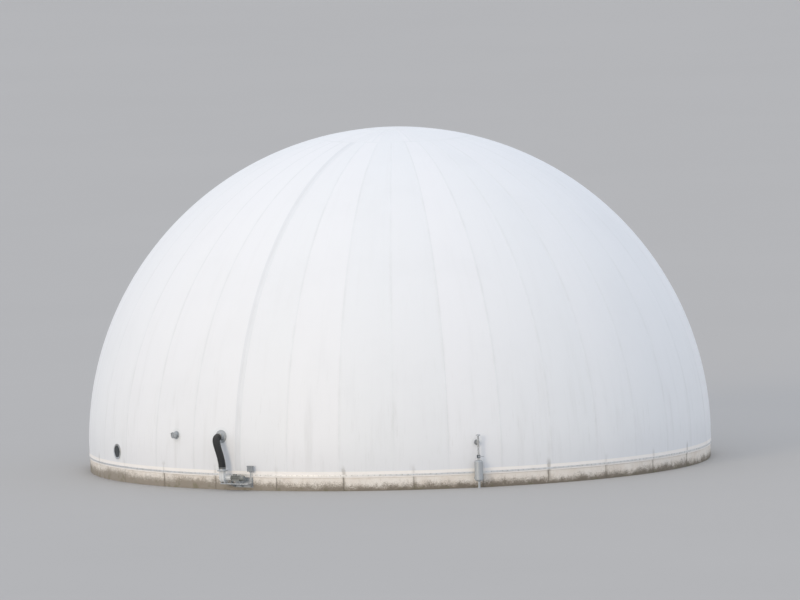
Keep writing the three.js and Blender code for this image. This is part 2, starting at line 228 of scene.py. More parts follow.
def carry(path, outline, scale=1.0):
    """A closed flat outline carried along a path on frames that never twist, its ends closed flat."""
    path, outline = np.array(path, float), np.array(outline, float)
    tangent = unit(np.gradient(path, axis=0))
    side = np.cross(tangent[0], UP if abs(tangent[0] @ UP) < 0.9 else [1.0, 0, 0])
    sides = []
    for t in tangent:
        side = unit(side - (side @ t) * t)
        sides.append(side)
    other = np.cross(tangent, sides)[:, None]
    flat = outline[:, :1] * np.array(sides)[:, None] + outline[:, 1:] * other
    return loft(path[:, None] + np.broadcast_to(scale, len(path))[:, None, None] * flat)


def circle(radius, sides, centre=(0, 0), start=0.0):
    """Points of a circle, in order. A start of 0.5 begins half a step on."""
    a = (np.arange(sides) + start) * 2 * np.pi / sides
    return np.array(centre) + radius * np.column_stack([np.cos(a), np.sin(a)])


def rectangle(a0, a1, b0, b1, corner=0.0):
    """A rectangle whose corners are quarter circles of four points."""
    if corner == 0:
        return np.array([[a0, b0], [a1, b0], [a1, b1], [a0, b1]], float)
    t = np.linspace(0, np.pi / 2, 4) + np.arange(4)[:, None] * np.pi / 2
    middles = np.array([[a1 - corner, b1 - corner], [a0 + corner, b1 - corner],
                        [a0 + corner, b0 + corner], [a1 - corner, b0 + corner]])
    return (middles[:, None] + corner * np.stack([np.cos(t), np.sin(t)], axis=2)).reshape(-1, 2)


def inset(outline, by):
    """The outline moved inward by a distance: each point goes along the mean of its two edge normals."""
    edges = outline - np.roll(outline, 1, axis=0), np.roll(outline, -1, axis=0) - outline
    n0, n1 = (unit(edge)[:, ::-1] * [-1, 1] for edge in edges)
    mean = (n0 + n1) * by / np.maximum(((n0 + n1) * n1).sum(axis=1), 0.3)[:, None]
    x, y = outline.T
    return outline + np.sign(np.sum(x * np.roll(y, -1) - np.roll(x, -1) * y)) * mean


def prism(outline, low, high, edge, along="z"):
    """An outline given a depth, with its end edges broken: two inset rings and two full ones.

    along names the axis of the depth: z takes the outline in (x, n), x in (n, z) and n in (x, z).
    """
    outline = np.array(outline, float)
    small = inset(outline, edge)
    rings = (small, low), (outline, low + edge), (outline, high - edge), (small, high)
    grid = np.stack([np.column_stack([ring, np.full(len(ring), depth)]) for ring, depth in rings])
    return loft(grid[..., AXES[along]])


def block(x, n, z, edge, corner=0.0):
    """A box from its three ranges, upright, with broken edges."""
    return prism(rectangle(*x, *n, corner), *z, edge)


def about(middle, half):
    """The range that reaches so far to both sides of a middle."""
    return middle - half, middle + half


def spread(surface, spots, along="z"):
    """A copy of a small upright surface at each spot, laid along an axis."""
    points, faces = lay(surface, along)
    every = (points[None] + np.array(spots, float)[:, None]).reshape(-1, 3)
    step = np.arange(len(spots))[:, None, None] * len(points)
    return every, [(f[None] + step).reshape(-1, f.shape[1]) for f in faces]


def encircle(surface, count, radius, along="z", middle=(0, 0, 0)):
    """Copies of a small surface evenly round an axis."""
    spots = np.column_stack([circle(radius, count, start=0.5), np.zeros(count)])
    return spread(surface, spots[:, AXES[along]] + np.array(middle), along)


def bolt(size, head, washer):
    """A hexagon head on a round washer, upright, standing on z = 0."""
    cap = [(size, 0.002), (size, 0.003 + head * 0.8), (size * 0.8, 0.003 + head)]
    return join([lathe([(washer, -0.001), (washer, 0.003)], 12), lathe(cap, 6)])


def at(az, n, z):
    """A point on a circle round the tank."""
    a = np.radians(az)
    return np.stack(np.broadcast_arrays(n * np.sin(a), -n * np.cos(a), z), axis=-1)


def station(az, x=0.0, n=0.0, z=0.0):
    """What moves a surface by x, n and z in a station, and from there to the row frame.

    A station stands at an azimuth, seen from outside: x to the right, n outward from the tank's axis, z up.
    """
    a = math.radians(az)
    swing = np.array([[math.cos(a), math.sin(a), 0], [math.sin(a), -math.cos(a), 0], [0, 0, 1]])
    return lambda surface: closed((surface[0] + [x, n, z]) @ swing, surface[1])


def swung(surface, angle):
    """A surface swung by an angle round the x axis of its place."""
    c, s = math.cos(angle), math.sin(angle)
    return closed(surface[0] @ np.array([[1, 0, 0], [0, c, s], [0, -s, c]]), surface[1])


def around(surface, azimuths):
    """A copy of a station's surface at each azimuth."""
    return [station(az)(surface) for az in azimuths]


def put(name, data):
    """An object for a mesh, a lamp or a camera, in the scene."""
    made = bpy.data.objects.new(name, data)
    bpy.context.scene.collection.objects.link(made)
    return made


def make(name, surface, material, nodes):
    """Puts a surface in a mesh of its own, rides it on the root and hides the imported nodes that it stands
    for.
    """
    points, faces = surface
    mesh = bpy.data.meshes.new(name)
    mesh.from_pydata(points, [], [face for f in faces for face in f.tolist()], shade_flat=False)
    mesh.validate()
    mesh.set_sharp_from_angle(angle=math.radians(35))
    mesh.materials.append(material)
    piece = put(name, mesh)
    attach(piece, "root")
    if nodes:
        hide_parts(*nodes)


# Materials. A pattern's scale is in cells a metre, so 1000 / 450 is a cell of 450 mm.

# The inputs that a kind of node takes, in order, with their usual values, and its settings
INPUTS = {
    "TexNoise": {"Vector": None, "Scale": None, "Detail": 4.0, "Roughness": 0.55},
    "TexVoronoi": {"Vector": None, "Scale": None},
    "TexWhiteNoise": {"W": None},
    "VectorMath": {0: None, 1: None, "Scale": None},
    "Mix": {0: None, 6: None, 7: None},
    "Bump": {"Height": None, "Distance": None, "Strength": None, "Normal": None},
}
SETTINGS = {
    "TexWhiteNoise": {"noise_dimensions": "1D"},
    "MapRange": {"interpolation_type": "SMOOTHSTEP"},
    "Mix": {"data_type": "RGBA"},
}


def linear(hex_colour):
    """An sRGB hex value as linear red, green, blue and one for alpha."""
    c = np.array([int(hex_colour[i:i + 2], 16) for i in (1, 3, 5)]) / 255
    c = np.where(c <= 0.04045, c / 12.92, ((c + 0.055) / 1.055) ** 2.4)
    return (*c, 1.0)


def node(coat, kind, *values, out=0, **settings):
    """Adds a node to a material with its settings, values and links, and gives one of its outputs.

    A kind in capitals is a sum of that name, such as MULTIPLY.
    """
    if kind.isupper():
        kind, settings = "Math", {"operation": kind}
    made = coat.node_tree.nodes.new("ShaderNode" + kind)
    for key, value in {**SETTINGS.get(kind, {}), **settings}.items():
        setattr(made, key, value)
    inputs = INPUTS.get(kind, dict.fromkeys(range(5)))
    for key, value in {**inputs, **dict(zip(inputs, values))}.items():
        if isinstance(value, bpy.types.NodeSocket):
            coat.node_tree.links.new(value, made.inputs[key])
        elif value is not None:
            made.inputs[key].default_value = value
    return made.outputs[out]


def share(coat, *factors):
    """The product of factors: each a number, a link, or a link carried smoothly from range to range."""
    product = None
    for factor in factors:
        if isinstance(factor, tuple):
            factor = node(coat, "MapRange", *factor)
        product = factor if product is None else node(coat, "MULTIPLY", product, factor)
    return product


def layered(coat, tone, *layers):
    """A tone with others laid over it one after another, each as far as the product of its factors."""
    colour = linear(tone)
    for over, *factors in layers:
        colour = node(coat, "Mix", share(coat, *factors), colour, linear(over), out=2)
    return colour


def begin(name, **constants):
    """An empty material whose constant values sit on the shader's own sockets, and the point it is at."""
    coat = bpy.data.materials.new(name)
    coat.use_nodes = True
    for key, value in constants.items():
        coat.node_tree.nodes["Principled BSDF"].inputs[key.replace("_", " ")].default_value = value
    return coat, node(coat, "TexCoord", out="Object")


def finish(coat, colour, roughness=None, *heights):
    """Links the colour, the roughness and a chain of bumps of height, distance and strength."""
    normal = None
    for height in heights:
        normal = node(coat, "Bump", *height, normal)
    ends = {"Base Color": colour, "Roughness": roughness and share(coat, roughness), "Normal": normal}
    for key, value in ends.items():
        if value is not None:
            coat.node_tree.links.new(value, coat.node_tree.nodes["Principled BSDF"].inputs[key])
    return coat


def streak_place(coat, place, squeeze):
    """Where a streak lies: the direction from the tank's axis on its wall, and the height squeezed."""
    x, y, z = (node(coat, "SeparateXYZ", place, out=k) for k in range(3))
    unit = node(coat, "VectorMath", node(coat, "CombineXYZ", x, y), operation="NORMALIZE")
    wall = node(coat, "VectorMath", unit, None, SPHERE_R, operation="SCALE")
    rise = node(coat, "CombineXYZ", None, None, node(coat, "MULTIPLY", z, squeeze))
    return node(coat, "VectorMath", wall, rise, operation="ADD"), x, y, z


def steps_round(coat, x, y, start, step):
    """How many steps round the tank a point lies from a starting azimuth."""
    angle = node(coat, "ARCTAN2", x, node(coat, "MULTIPLY", y, -1.0))
    turned = node(coat, "SUBTRACT", angle, math.radians(start))
    return node(coat, "DIVIDE", turned, math.radians(step))


def joint_stain(coat, place, x, y):
    """How stained a point is by the panel joint beside it: a ragged run about a hand wide.

    Some joints weep more than others: joint k's share is 0.6 + 0.4 cos(2.2 (k - 1)).
    """
    turns = steps_round(coat, x, y, PANEL_AZ, PANEL_STEP)
    joint = node(coat, "ROUND", turns)
    off = node(coat, "ABSOLUTE", node(coat, "SUBTRACT", turns, joint))
    metres = node(coat, "MULTIPLY", off, math.radians(PANEL_STEP) * WALL_R)
    wander = share(coat, (node(coat, "TexNoise", place, 1000 / 290), 0.3, 0.7, -0.05, 0.05))
    phase = node(coat, "MULTIPLY", node(coat, "SUBTRACT", joint, 1.0), 2.2)
    weeping = node(coat, "MULTIPLY_ADD", node(coat, "COSINE", phase), 0.4, 0.6)
    return share(coat, weeping, (node(coat, "ADD", metres, wander), 0.0, 0.13, 1.0, 0.0))


def coated_fabric(name="coated_polyester_fabric", tone="#F1F2F2", dirt=1.0):
    """PVC-coated polyester with a lacquered face, cut in gores from rolls and welded hot.

    Clean and almost white, each roll a shade apart, with rain streaks and dust that gather low down and
    beside the seams, and a blue-grey tone that deepens towards the foot. The hem that hangs over the concrete
    is doubled, newer and warmer in tone.
    The weave, a millimetre wide, is too fine to show, so it is drawn 6 mm wide.
    """
    coat, place = begin(name, IOR=1.48, Roughness=0.6, Sheen_Weight=0.04)
    streaks, x, y, z = streak_place(coat, place, 0.10)
    turns = steps_round(coat, x, y, SEAM_AZ, GORE_STEP)
    roll = node(coat, "TexWhiteNoise", node(coat, "FLOOR", turns), out="Value")
    across = node(coat, "FRACT", turns)
    edge = node(coat, "MINIMUM", across, node(coat, "SUBTRACT", 1.0, across))
    runs = node(coat, "TexNoise", streaks, 1000 / 450, 5.0, 0.6)
    hairs = node(coat, "TexNoise", streaks, 1000 / 110, 3.0, 0.6)
    patches = node(coat, "TexNoise", place, 1000 / 1100)
    clouds = node(coat, "TexNoise", place, 1000 / 2900, 3.0)
    spots = node(coat, "TexNoise", place, 1000 / 170)
    low = share(coat, (z, 0.6, 7.5, 1.0, 0.2))
    cloth = layered(
        coat, tone, ("#EEF0F0", roll),
        ("#C2C2BD", (runs, 0.50, 0.78), low, 0.22 * dirt),
        ("#B2B2AA", (hairs, 0.56, 0.80), low, 0.16 * dirt),
        ("#C3C2BC", (edge, 0.012, 0.06, 1.0, 0.0), (patches, 0.35, 0.7), 0.10 * dirt),
        ("#DADCDC", (clouds, 0.45, 0.75, 0.0, 0.10)),
        # Blue-grey, deepest at the roof's foot and gone by 2.6 m.
        ("#BFC0C6", (z, 0.85, 2.60, 0.12, 0.0)),
        ("#FBF7F1", (z, WALL_H, WALL_H + 0.03, 1.0, 0.0)),
        ("#B4AE9F", (z, 0.55, 0.95, 1.0, 0.0), (spots, 0.45, 0.75), 0.14 * dirt),
        ("#8E897E", joint_stain(coat, place, x, y), (z, 0.80, 1.25, 0.5, 0.0)))
    waves, threads = (node(coat, "TexNoise", place, 1000 / size, 2.0) for size in (1250, 6))
    return finish(coat, cloth, (runs, 0.3, 0.8, 0.52, 0.68), (waves, 0.05, 0.08), (threads, 0.0006, 0.25))


def precast_concrete():
    """Pale cement cast in steel moulds: smooth face, small air pores and rain marks.

    Its foot is darker, in a band with a ragged upper edge that fades out by about 0.42 m,
    darkest below 0.26 m and mossy in places. Towards -X the band reaches 0.16 m higher and its darkest part
    is paler.
    """
    coat, place = begin("precast_concrete", IOR=1.5, Roughness=0.85)
    streaks, x, y, z = streak_place(coat, place, 0.35)
    clouds = node(coat, "TexNoise", place, 1000 / 1100, 6.0, 0.65)
    grit = node(coat, "TexNoise", place, 1000 / 16, 3.0)
    runs = node(coat, "TexNoise", streaks, 1000 / 200, 4.0, 0.6)
    moss = node(coat, "TexNoise", place, 1000 / 400)
    pores = share(coat, (node(coat, "TexVoronoi", place, 1000 / 30), 0.05, 0.14, 1.0, 0.0))
    height = node(coat, "SUBTRACT", z, share(coat, (x, -8.0, -2.0, 0.16, 0.0)))
    for size, detail, roughness, spread_low, reach in (
            (1400, 3.0, 0.55, 0.3, 0.07), (250, 6.0, 0.7, 0.2, 0.10), (26, 2.0, 0.55, 0.35, 0.09)):
        ragged = node(coat, "TexNoise", place, 1000 / size, detail, roughness)
        height = node(coat, "ADD", height, share(coat, (ragged, spread_low, 1 - spread_low, -reach, reach)))
    stone = layered(
        coat, "#F3EEE5", ("#E7DED2", (clouds, 0.3, 0.7)),
        ("#C2B9AC", (grit, 0.45, 0.75, 0.0, 0.25)),
        ("#B9AE9E", (runs, 0.54, 0.78, 0.0, 0.32)),
        ("#7F776A", joint_stain(coat, place, x, y), 0.60),
        ("#948A7B", (height, 0.12, 0.42, 1.0, 0.0), 0.80),
        ("#6C6457", (height, 0.08, 0.26, 1.0, 0.0), (x, -7.0, 0.0, 0.35, 0.80)),
        ("#6C6B4C", (height, 0.02, 0.20, 1.0, 0.0), (moss, 0.5, 0.65), 0.45),
        ("#9C9486", pores, 0.4))
    return finish(coat, stone, (clouds, 0.2, 0.8, 0.78, 0.92), (clouds, 0.01, 0.15), (grit, 0.0015, 0.35),
                  (node(coat, "MULTIPLY", pores, -1.0), 0.004, 0.6))


def zinc_coated_steel():
    """Steel dipped in molten zinc: dull grey with crystals 14 mm across and white bloom."""
    coat, place = begin("hot_dip_galvanised_steel", Metallic=0.6, Roughness=0.5)
    crystals = node(coat, "RGBToBW", node(coat, "TexVoronoi", place, 1000 / 14, out="Color"))
    bloom = node(coat, "TexNoise", place, 1000 / 110, 5.0)
    zinc = layered(coat, "#AEB2B4", ("#C4C8C9", crystals), ("#D3D5D3", (bloom, 0.55, 0.75, 0.0, 0.5)))
    return finish(coat, zinc, (bloom, 0.3, 0.7, 0.42, 0.62), (crystals, 0.0008, 0.2))


def bright_metal(name, tone, shade, roughness):
    """Bare metal as it leaves the rolls, pickled or brushed: even, finely grained, faintly water-marked.

    The grain, a tenth of a millimetre wide, is too fine to show, so it is drawn 3 mm wide.
    """
    coat, place = begin(name, Metallic=1.0, Roughness=roughness)
    marks = node(coat, "TexNoise", place, 1000 / 170, 5.0)
    grain = node(coat, "TexNoise", place, 1000 / 3, 2.0)
    sheen = layered(coat, tone, (shade, (marks, 0.4, 0.7)))
    return finish(coat, sheen, (marks, 0.3, 0.7, roughness - 0.06, roughness + 0.12), (grain, 0.0004, 0.2))


def enamel(name, tone, worn, dust):
    """Two-part enamel sprayed on steel or cast metal: orange peel 4 mm wide, wear, and dust on top."""
    coat, place = begin(name, IOR=1.5, Roughness=0.38, Coat_Weight=0.2)
    wear = node(coat, "TexNoise", place, 1000 / 45, 6.0, 0.7)
    facing_up = node(coat, "SeparateXYZ", node(coat, "NewGeometry", out="Normal"), out=2)
    peel = node(coat, "TexNoise", place, 1000 / 4, 2.0)
    paint = layered(coat, tone, (worn, (wear, 0.35, 0.65, 0.0, 0.4)),
                    (dust, (facing_up, 0.3, 0.95), (wear, 0.3, 0.6), 0.55))
    return finish(coat, paint, (wear, 0.3, 0.7, 0.32, 0.5), (peel, 0.0004, 0.15))


def hose_rubber():
    """Black rubber on a wire helix: matt, finely pimpled, greyed by dust on the crests of its ribs."""
    coat, place = begin("wire_wound_black_rubber", IOR=1.52, Roughness=0.62)
    patches = node(coat, "TexNoise", place, 1000 / 70, 5.0)
    facing_up = node(coat, "SeparateXYZ", node(coat, "NewGeometry", out="Normal"), out=2)
    pimples = node(coat, "TexNoise", place, 1000 / 5, 2.0)
    skin_tone = layered(coat, "#1A1B1C", ("#2A2A29", (patches, 0.4, 0.7)),
                        ("#6A665E", (facing_up, 0.35, 1.0, 0.0, 0.35)))
    return finish(coat, skin_tone, (patches, 0.3, 0.7, 0.55, 0.72), (pimples, 0.0005, 0.3))


def sight_glass():
    """Thick float glass with painted shade: its almost black colour stands for the unlit inside of the tank,
    with a clean reflection and a film of dust.
    """
    coat, place = begin("float_glass_with_painted_shade", IOR=1.52, Roughness=0.06)
    film = node(coat, "TexNoise", place, 1000 / 80)
    # Painted shade: the near-black base colour is the dark inside of the tank, drawn onto the pane.
    dark = layered(coat, "#262D30", ("#6B706E", (film, 0.45, 0.75, 0.0, 0.25)))
    return finish(coat, dark, (film, 0.4, 0.8, 0.05, 0.2))


def sealant():
    """Grey joint sealant, tooled by hand: soft sheen, uneven every 40 mm."""
    coat, place = begin("tooled_joint_sealant", IOR=1.45, Roughness=0.6)
    lumps = node(coat, "TexNoise", place, 1000 / 40, 3.0)
    return finish(coat, layered(coat, "#6B675F", ("#837E74", lumps)), None, (lumps, 0.004, 0.4))


# The finishes: each material with the record's slot that it belongs to
FABRIC = coated_fabric(), "membrane"
STRIP = coated_fabric("coated_polyester_weld_strip", "#ECEEEE", 1.2), "membrane"
OLD_STRIP = coated_fabric("coated_polyester_closing_strip", "#E6E8E9", 1.2), "membrane"
CONCRETE = precast_concrete(), "concrete"
SEALANT = sealant(), "concrete"
ZINC = zinc_coated_steel(), "galvanised"
CASE = enamel("silver_grey_enamel", "#8D9295", "#A0A4A6", "#ABA79C"), "galvanised"
STAINLESS = bright_metal("pickled_stainless_steel", "#C9CBCB", "#B3B3AF", 0.32), "stainless"
ALUMINIUM = bright_metal("mill_finish_aluminium", "#EDEDEB", "#E0E0DC", 0.48), "stainless"
HOUSING = enamel("pale_grey_enamel", "#E2E4E3", "#CBCDCC", "#C9C4B8"), "fan_paint"
MOTOR = enamel("stone_grey_enamel", "#7F827E", "#8E918C", "#A59F93"), "motor_paint"
VALVE = enamel("dull_blue_grey_enamel", "#46515A", "#59626A", "#8F8A7F"), "valve_paint"
RUBBER = hose_rubber(), "hose_rubber"
GLASS = sight_glass(), "glass"


# The roof. Each function that is named as a piece gives the list of its surfaces.

def bulge(az, polar):
    """How far the fabric stands out: a half wave across each gore, fading towards the cap."""
    across = np.mod(az - SEAM_AZ, GORE_STEP) / GORE_STEP
    return BULGE * np.clip((polar - CAP_POLAR) / 20, 0, 1) * np.sin(np.pi * across) ** 0.8


def puckers(az, z):
    """Creases that rise from the clamp rail: a few waves of odd length, dying out in half a metre."""
    a = np.radians(az)
    wave = (np.sin(131 * a + 1.7 * np.sin(7 * a)) + 0.6 * np.sin(89 * a + 2.1 * np.sin(11 * a) + 1.0)
            + 0.5 * np.sin(47 * a + 0.4))
    return 0.0035 * wave * np.exp(-np.maximum(z - RAIL_Z - RAIL_H, 0) / 0.38)


def polar_at(z):
    """The polar angle at which the roof's sphere has a height."""
    return np.degrees(np.arccos(np.clip((z - SPHERE_Z) / SPHERE_R, -1, 1)))


def skin(az, lift, z=None, polar=None):
    """A point of the roof's outside, or lifted off it: the sphere with its bulge and puckers.

    It is given by its height or its polar angle, and the skin is straight below the wall's top.
    """
    if polar is None:
        polar = polar_at(np.maximum(z, WALL_H))
    p = np.radians(polar)
    r = SPHERE_R - BULGE + bulge(az, polar) + lift
    high = SPHERE_Z + r * np.cos(p)
    high = high if z is None else np.where(z < WALL_H, z, high)
    fade = np.clip((high - HEM_Z) / 0.12, 0, 1) if z is not None else 1.0
    out = r * np.sin(p) + puckers(az, high) * fade * (np.abs(high - RAIL_Z - RAIL_H / 2) > RAIL_H / 2)
    return at(az, out, high)


def fabric(az, z=None, polar=None):
    """The roof's fabric over a grid of azimuths and heights or polar angles: its outer and inner face."""
    outer, inner = (skin(az, lift, z, polar) for lift in (0.0, -FABRIC_T))
    return loft(np.concatenate([outer, inner[::-1]]), wrap=True)


def roof_dome():
    """The gored part and its cap: rows of azimuth and polar angle on the skin."""
    az = SEAM_AZ + 180 + np.arange(GORES * 12) * GORE_STEP / 12
    az, polar = np.meshgrid(az, np.linspace(polar_at(SKIRT_TOP), 0.4, 92))
    return [fabric(az, polar=polar)]


def roof_skirt():
    """The foot of the roof, from the hem's edge to above the clamp rail, where it creases."""
    z = np.concatenate([np.linspace(HEM_Z + 0.012, RAIL_Z, 4), np.linspace(RAIL_Z + RAIL_H, SKIRT_TOP, 18)])
    return [fabric(*np.meshgrid(np.arange(1080) / 3, z))]


def meridian_strip(az, foot, top, offsets, heights):
    """A strip welded on along a meridian: a closed outline of offsets and heights, row by row."""
    polar, across = np.meshgrid(np.linspace(foot, top, 90), offsets + offsets[::-1], indexing="ij")
    lift = np.broadcast_to(heights + [-0.004] * len(offsets), polar.shape)
    shift = np.degrees(across / (SPHERE_R * np.sin(np.radians(polar))))
    return loft(skin(az + shift, lift, polar=polar))


def gore_seams():
    """A weld strip 70 mm wide on each meridian seam, and shorter ones on the cap."""
    cross, foot = ([-0.035, -0.030, 0.030, 0.035], [0.0, 0.004, 0.004, 0.0]), polar_at(RAIL_Z + RAIL_H)
    return [meridian_strip(SEAM_AZ + GORE_STEP * k, foot, CAP_POLAR, *cross) for k in range(1, GORES)] + [
        meridian_strip(SEAM_AZ + 360 / CAP_GORES * (k + 0.5), CAP_POLAR, 4.5, *cross)
        for k in range(CAP_GORES)]


def closing_seam():
    """The last seam, closed on site: a wide cover strip between two raised weld lines."""
    offsets = [-0.150, -0.145, -0.115, -0.110, 0.110, 0.115, 0.145, 0.150]
    heights = [0.0, 0.007, 0.007, 0.003, 0.003, 0.007, 0.007, 0.0]
    return [meridian_strip(SEAM_AZ, polar_at(RAIL_Z + RAIL_H), CAP_POLAR, offsets, heights)]


def cap_ring_weld():
    """The weld round the cap, 100 mm wide: a low closed outline carried round a parallel."""
    across = np.array([-1, -0.9, 0.9, 1, 1, -1]) * math.degrees(0.10 / 2 / SPHERE_R)
    az, polar = np.meshgrid(np.arange(432) * 360 / 432, CAP_POLAR + across, indexing="ij")
    lift = np.broadcast_to([0, 0.004, 0.004, 0, -0.004, -0.004], az.shape)
    return [loft(skin(az, lift, polar=polar), wrap=True)]


def apex_cover():
    """A round patch 2.4 m across over the meeting point, in two steps, following the sphere."""
    radii = np.array([0.0, 0.30, 0.60, 0.62, 0.62, 0.90, 1.17, 1.19, 1.20, 1.20])
    lifts = np.array([0.012, 0.012, 0.012, 0.011, 0.006, 0.006, 0.006, 0.005, 0.003, -0.006])
    top = SPHERE_Z - BULGE + np.sqrt(SPHERE_R ** 2 - radii ** 2) + lifts
    return [lathe([*zip(radii, top), (0, top[-1] - 0.02)], 96)]


def patch(az, z, radius):
    """A doubled piece of fabric welded round a fitting: a disc that follows the roof."""
    r = radius * np.array([0.2, 0.5, 0.8, 0.96, 1.0, 1.0, 0.8, 0.5, 0.2])
    lift = np.array([0.005, 0.005, 0.005, 0.005, 0.003, -0.006, -0.006, -0.006, -0.006])
    r, t = np.meshgrid(r, np.arange(64) * 2 * np.pi / 64, indexing="ij")
    shift = np.degrees(r * np.cos(t) / SPHERE_R)
    lift = np.broadcast_to(lift[:, None], r.shape)
    return loft(skin(az + shift, lift, polar=polar_at(z + r * np.sin(t))), wrap=True)


def roof_patches():
    """The doubled fabric round the air inlet, the air outlet, the window and the gas collar."""
    return [patch(INLET_AZ, INLET_Z, 0.43), patch(OUTLET_AZ, OUTLET_Z, 0.30),
            patch(WINDOW_AZ, WINDOW_Z, 0.44), patch(GAS_AZ, BRANCH_Z, 0.24)]


def hem_welt():
    """The rope sewn in the hem's lower edge: a round bead carried round the tank."""
    bead = circle(0.011, 10, (SPHERE_R - BULGE - 0.008, HEM_Z + 0.011))
    return [loft(at(np.arange(540)[:, None] * 360 / 540, bead[:, 0], bead[:, 1]), wrap=True)]


# The concrete ring and its clamp rail

JOINTS = PANEL_AZ + np.arange(PANELS) * PANEL_STEP


def ring_sector(az, outline, drawn=0.0):
    """A closed outline of (radius, height) carried round through azimuths, its ends closed flat.

    At each azimuth the outline's outer side is drawn in by a distance.
    """
    radius, height = np.array(outline, float).T
    outer = radius > WALL_R - WALL_T / 2
    return loft(at(az[:, None], radius - np.outer(drawn, outer), height))


def wall_panels():
    """The precast panels, joint to joint, drawn in at both ends by a 15 mm chamfer."""
    edge, inner = 0.015, WALL_R - WALL_T
    section = [(WALL_R - 0.006, 0), (WALL_R, 0.006), (WALL_R, 0.2), (WALL_R, 0.4), (WALL_R, 0.6),
               (WALL_R, WALL_H - edge), (WALL_R - edge, WALL_H), (inner + edge, WALL_H),
               (inner, WALL_H - edge), (inner, 0.4), (inner, 0)]
    gap, lip = math.degrees(0.005 / WALL_R), math.degrees(edge / WALL_R)
    az = np.array([gap, *np.linspace(gap + lip, PANEL_STEP - gap - lip, 22), PANEL_STEP - gap])
    drawn = edge * np.isin(np.arange(len(az)), [0, len(az) - 1])
    return [ring_sector(joint + az, section, drawn) for joint in JOINTS]


def joint_seals():
    """A bead in each joint, 22 mm wide, slightly hollow."""
    outline = [(-0.011, WALL_R - 0.030), (0.011, WALL_R - 0.030), (0.010, WALL_R - 0.008),
               (0.0, WALL_R - 0.012), (-0.010, WALL_R - 0.008)]
    return around(prism(outline, 0.0, WALL_H - 0.01, 0.002), JOINTS)


def anchor_plugs():
    """Mortar plugs over the lifting anchors, two on each panel."""
    plug = lathe([(0.032, -0.01), (0.032, 0.001), (0.027, 0.002), (0, 0.0015)], 20, "n", (0, WALL_R, 0.38))
    return around(plug, [az + PANEL_STEP * part for az in JOINTS for part in (0.25, 0.75)])


def clamp_rails():
    """Flat bars bent round the hem, with broken edges and a gap at each butt joint."""
    r0, r1, z0, z1, edge = RAIL_R - 0.002, RAIL_R + RAIL_T, RAIL_Z, RAIL_Z + RAIL_H, 0.002
    outline = [(r0, z0), (r1 - edge, z0), (r1, z0 + edge), (r1, z1 - edge), (r1 - edge, z1), (r0, z1)]
    step, gap = 360 / RAILS, math.degrees(0.006 / RAIL_R)
    return [ring_sector(JOINTS[2] + np.linspace(k * step + gap, (k + 1) * step - gap, 72), outline)
            for k in range(RAILS)]


def rail_bolts():
    """Hexagon bolts on washers every quarter metre or so along the rail."""
    fitted = lay(bolt(0.012, 0.008, 0.019), "n", (0, RAIL_R + RAIL_T, RAIL_Z + RAIL_H / 2))
    return around(fitted, JOINTS[2] + (np.arange(RAIL_BOLTS) + 0.5) * 360 / RAIL_BOLTS)


# The fan. Each of its pieces is made about one of these places and moved there at the end.

BY_FAN = station(FAN_AZ, FAN_X)
BY_SHAFT = station(FAN_AZ, FAN_X, FAN_N, FAN_Z)
BY_INTAKE = station(FAN_AZ, FAN_X + SCROLL_X[0], FAN_N, FAN_Z)


def snail(grow=0.0):
    """The scroll's outline in (n, z): its radius grows evenly from the tongue round to the outlet."""
    a = np.radians(np.linspace(TONGUE, 360, 60))
    r = np.linspace(*SCROLL_R, 60) + grow
    spiral = np.stack([FAN_N + r * np.cos(a), FAN_Z + r * np.sin(a)], axis=1)
    mouth = FAN_N + SCROLL_R[0] * math.cos(math.radians(TONGUE)) - grow, FAN_N + SCROLL_R[1] + grow
    top = FLAP_Z[0] - 0.020
    return np.concatenate([spiral, [[mouth[1], top], [mouth[0], top]]]), mouth


FLAP_X = sum(SCROLL_X) / 2
FLAP_N = sum(snail()[1]) / 2
BY_FLAP = station(FAN_AZ, FAN_X + FLAP_X, FLAP_N, FLAP_Z[0])


def fan_housing():
    """The scroll in sheet steel: a drum between two flanged cheeks, a rib, an outlet flange and a foot."""
    (drum, (n0, n1)), (cheek, _), (x0, x1) = snail(), snail(0.012), SCROLL_X
    return [prism(drum, x0 + 0.004, x1 - 0.004, 0.002, "x"),
            block((x0 - 0.020, x1 + 0.020), (n0 - 0.020, n1 + 0.020),
                  (FLAP_Z[0] - 0.012, FLAP_Z[0] - 0.001), 0.002, 0.01),
            prism(cheek, *about(FLAP_X, 0.002), 0.001, "x"),
            *(prism(cheek, x, x + 0.005, 0.001, "x") for x in (x0, x1 - 0.005)),
            *(block(about(x, 0.025), about(FAN_N, 0.13), (FRAME_Z, FRAME_Z + 0.008), 0.002)
              for x in (x0 + 0.03, x1 - 0.03)),
            *(block(about(x, 0.004), about(FAN_N, 0.12), (FRAME_Z, FAN_Z - 0.10), 0.001)
              for x in (x0 + 0.012, x1 - 0.012))]


def fan_bolts():
    """Small bolts round the cheek, the outlet flange, the feet and the lantern, and the wall plate's.

    The cheek's are spread on the mirrored side and mirrored back, because their heads point the other way.
    """
    small, (edge, (n0, n1)), (x0, x1) = bolt(0.006, 0.005, 0.010), snail(0.006), SCROLL_X
    spots = edge[4:-4:6]
    points, faces = spread(small, np.column_stack([np.full(len(spots), -x0), spots]), "x")
    top = [(x, n, FLAP_Z[0] + 0.006) for x in np.linspace(x0 - 0.010, x1 + 0.010, 4)
           for n in (n0 - 0.010, n1 + 0.010)]
    feet = [(x, n, FRAME_Z + 0.008) for x in (x0 + 0.045, x1 - 0.045) for n in about(FAN_N, 0.115)]
    plate = [(x, WALL_R + 0.010, z) for x in (-0.060, 0.150, 0.460, 0.690)
             for z in (PLATE_Z[0] + 0.035, PLATE_Z[1] - 0.035)]
    return [closed(points * [-1, 1, 1], faces), spread(small, top), spread(small, feet),
            encircle(small, 8, 0.112, "x", (MOTOR_X[0] + 0.016, FAN_N, FAN_Z)),
            spread(bolt(0.012, 0.010, 0.020), plate, "n")]


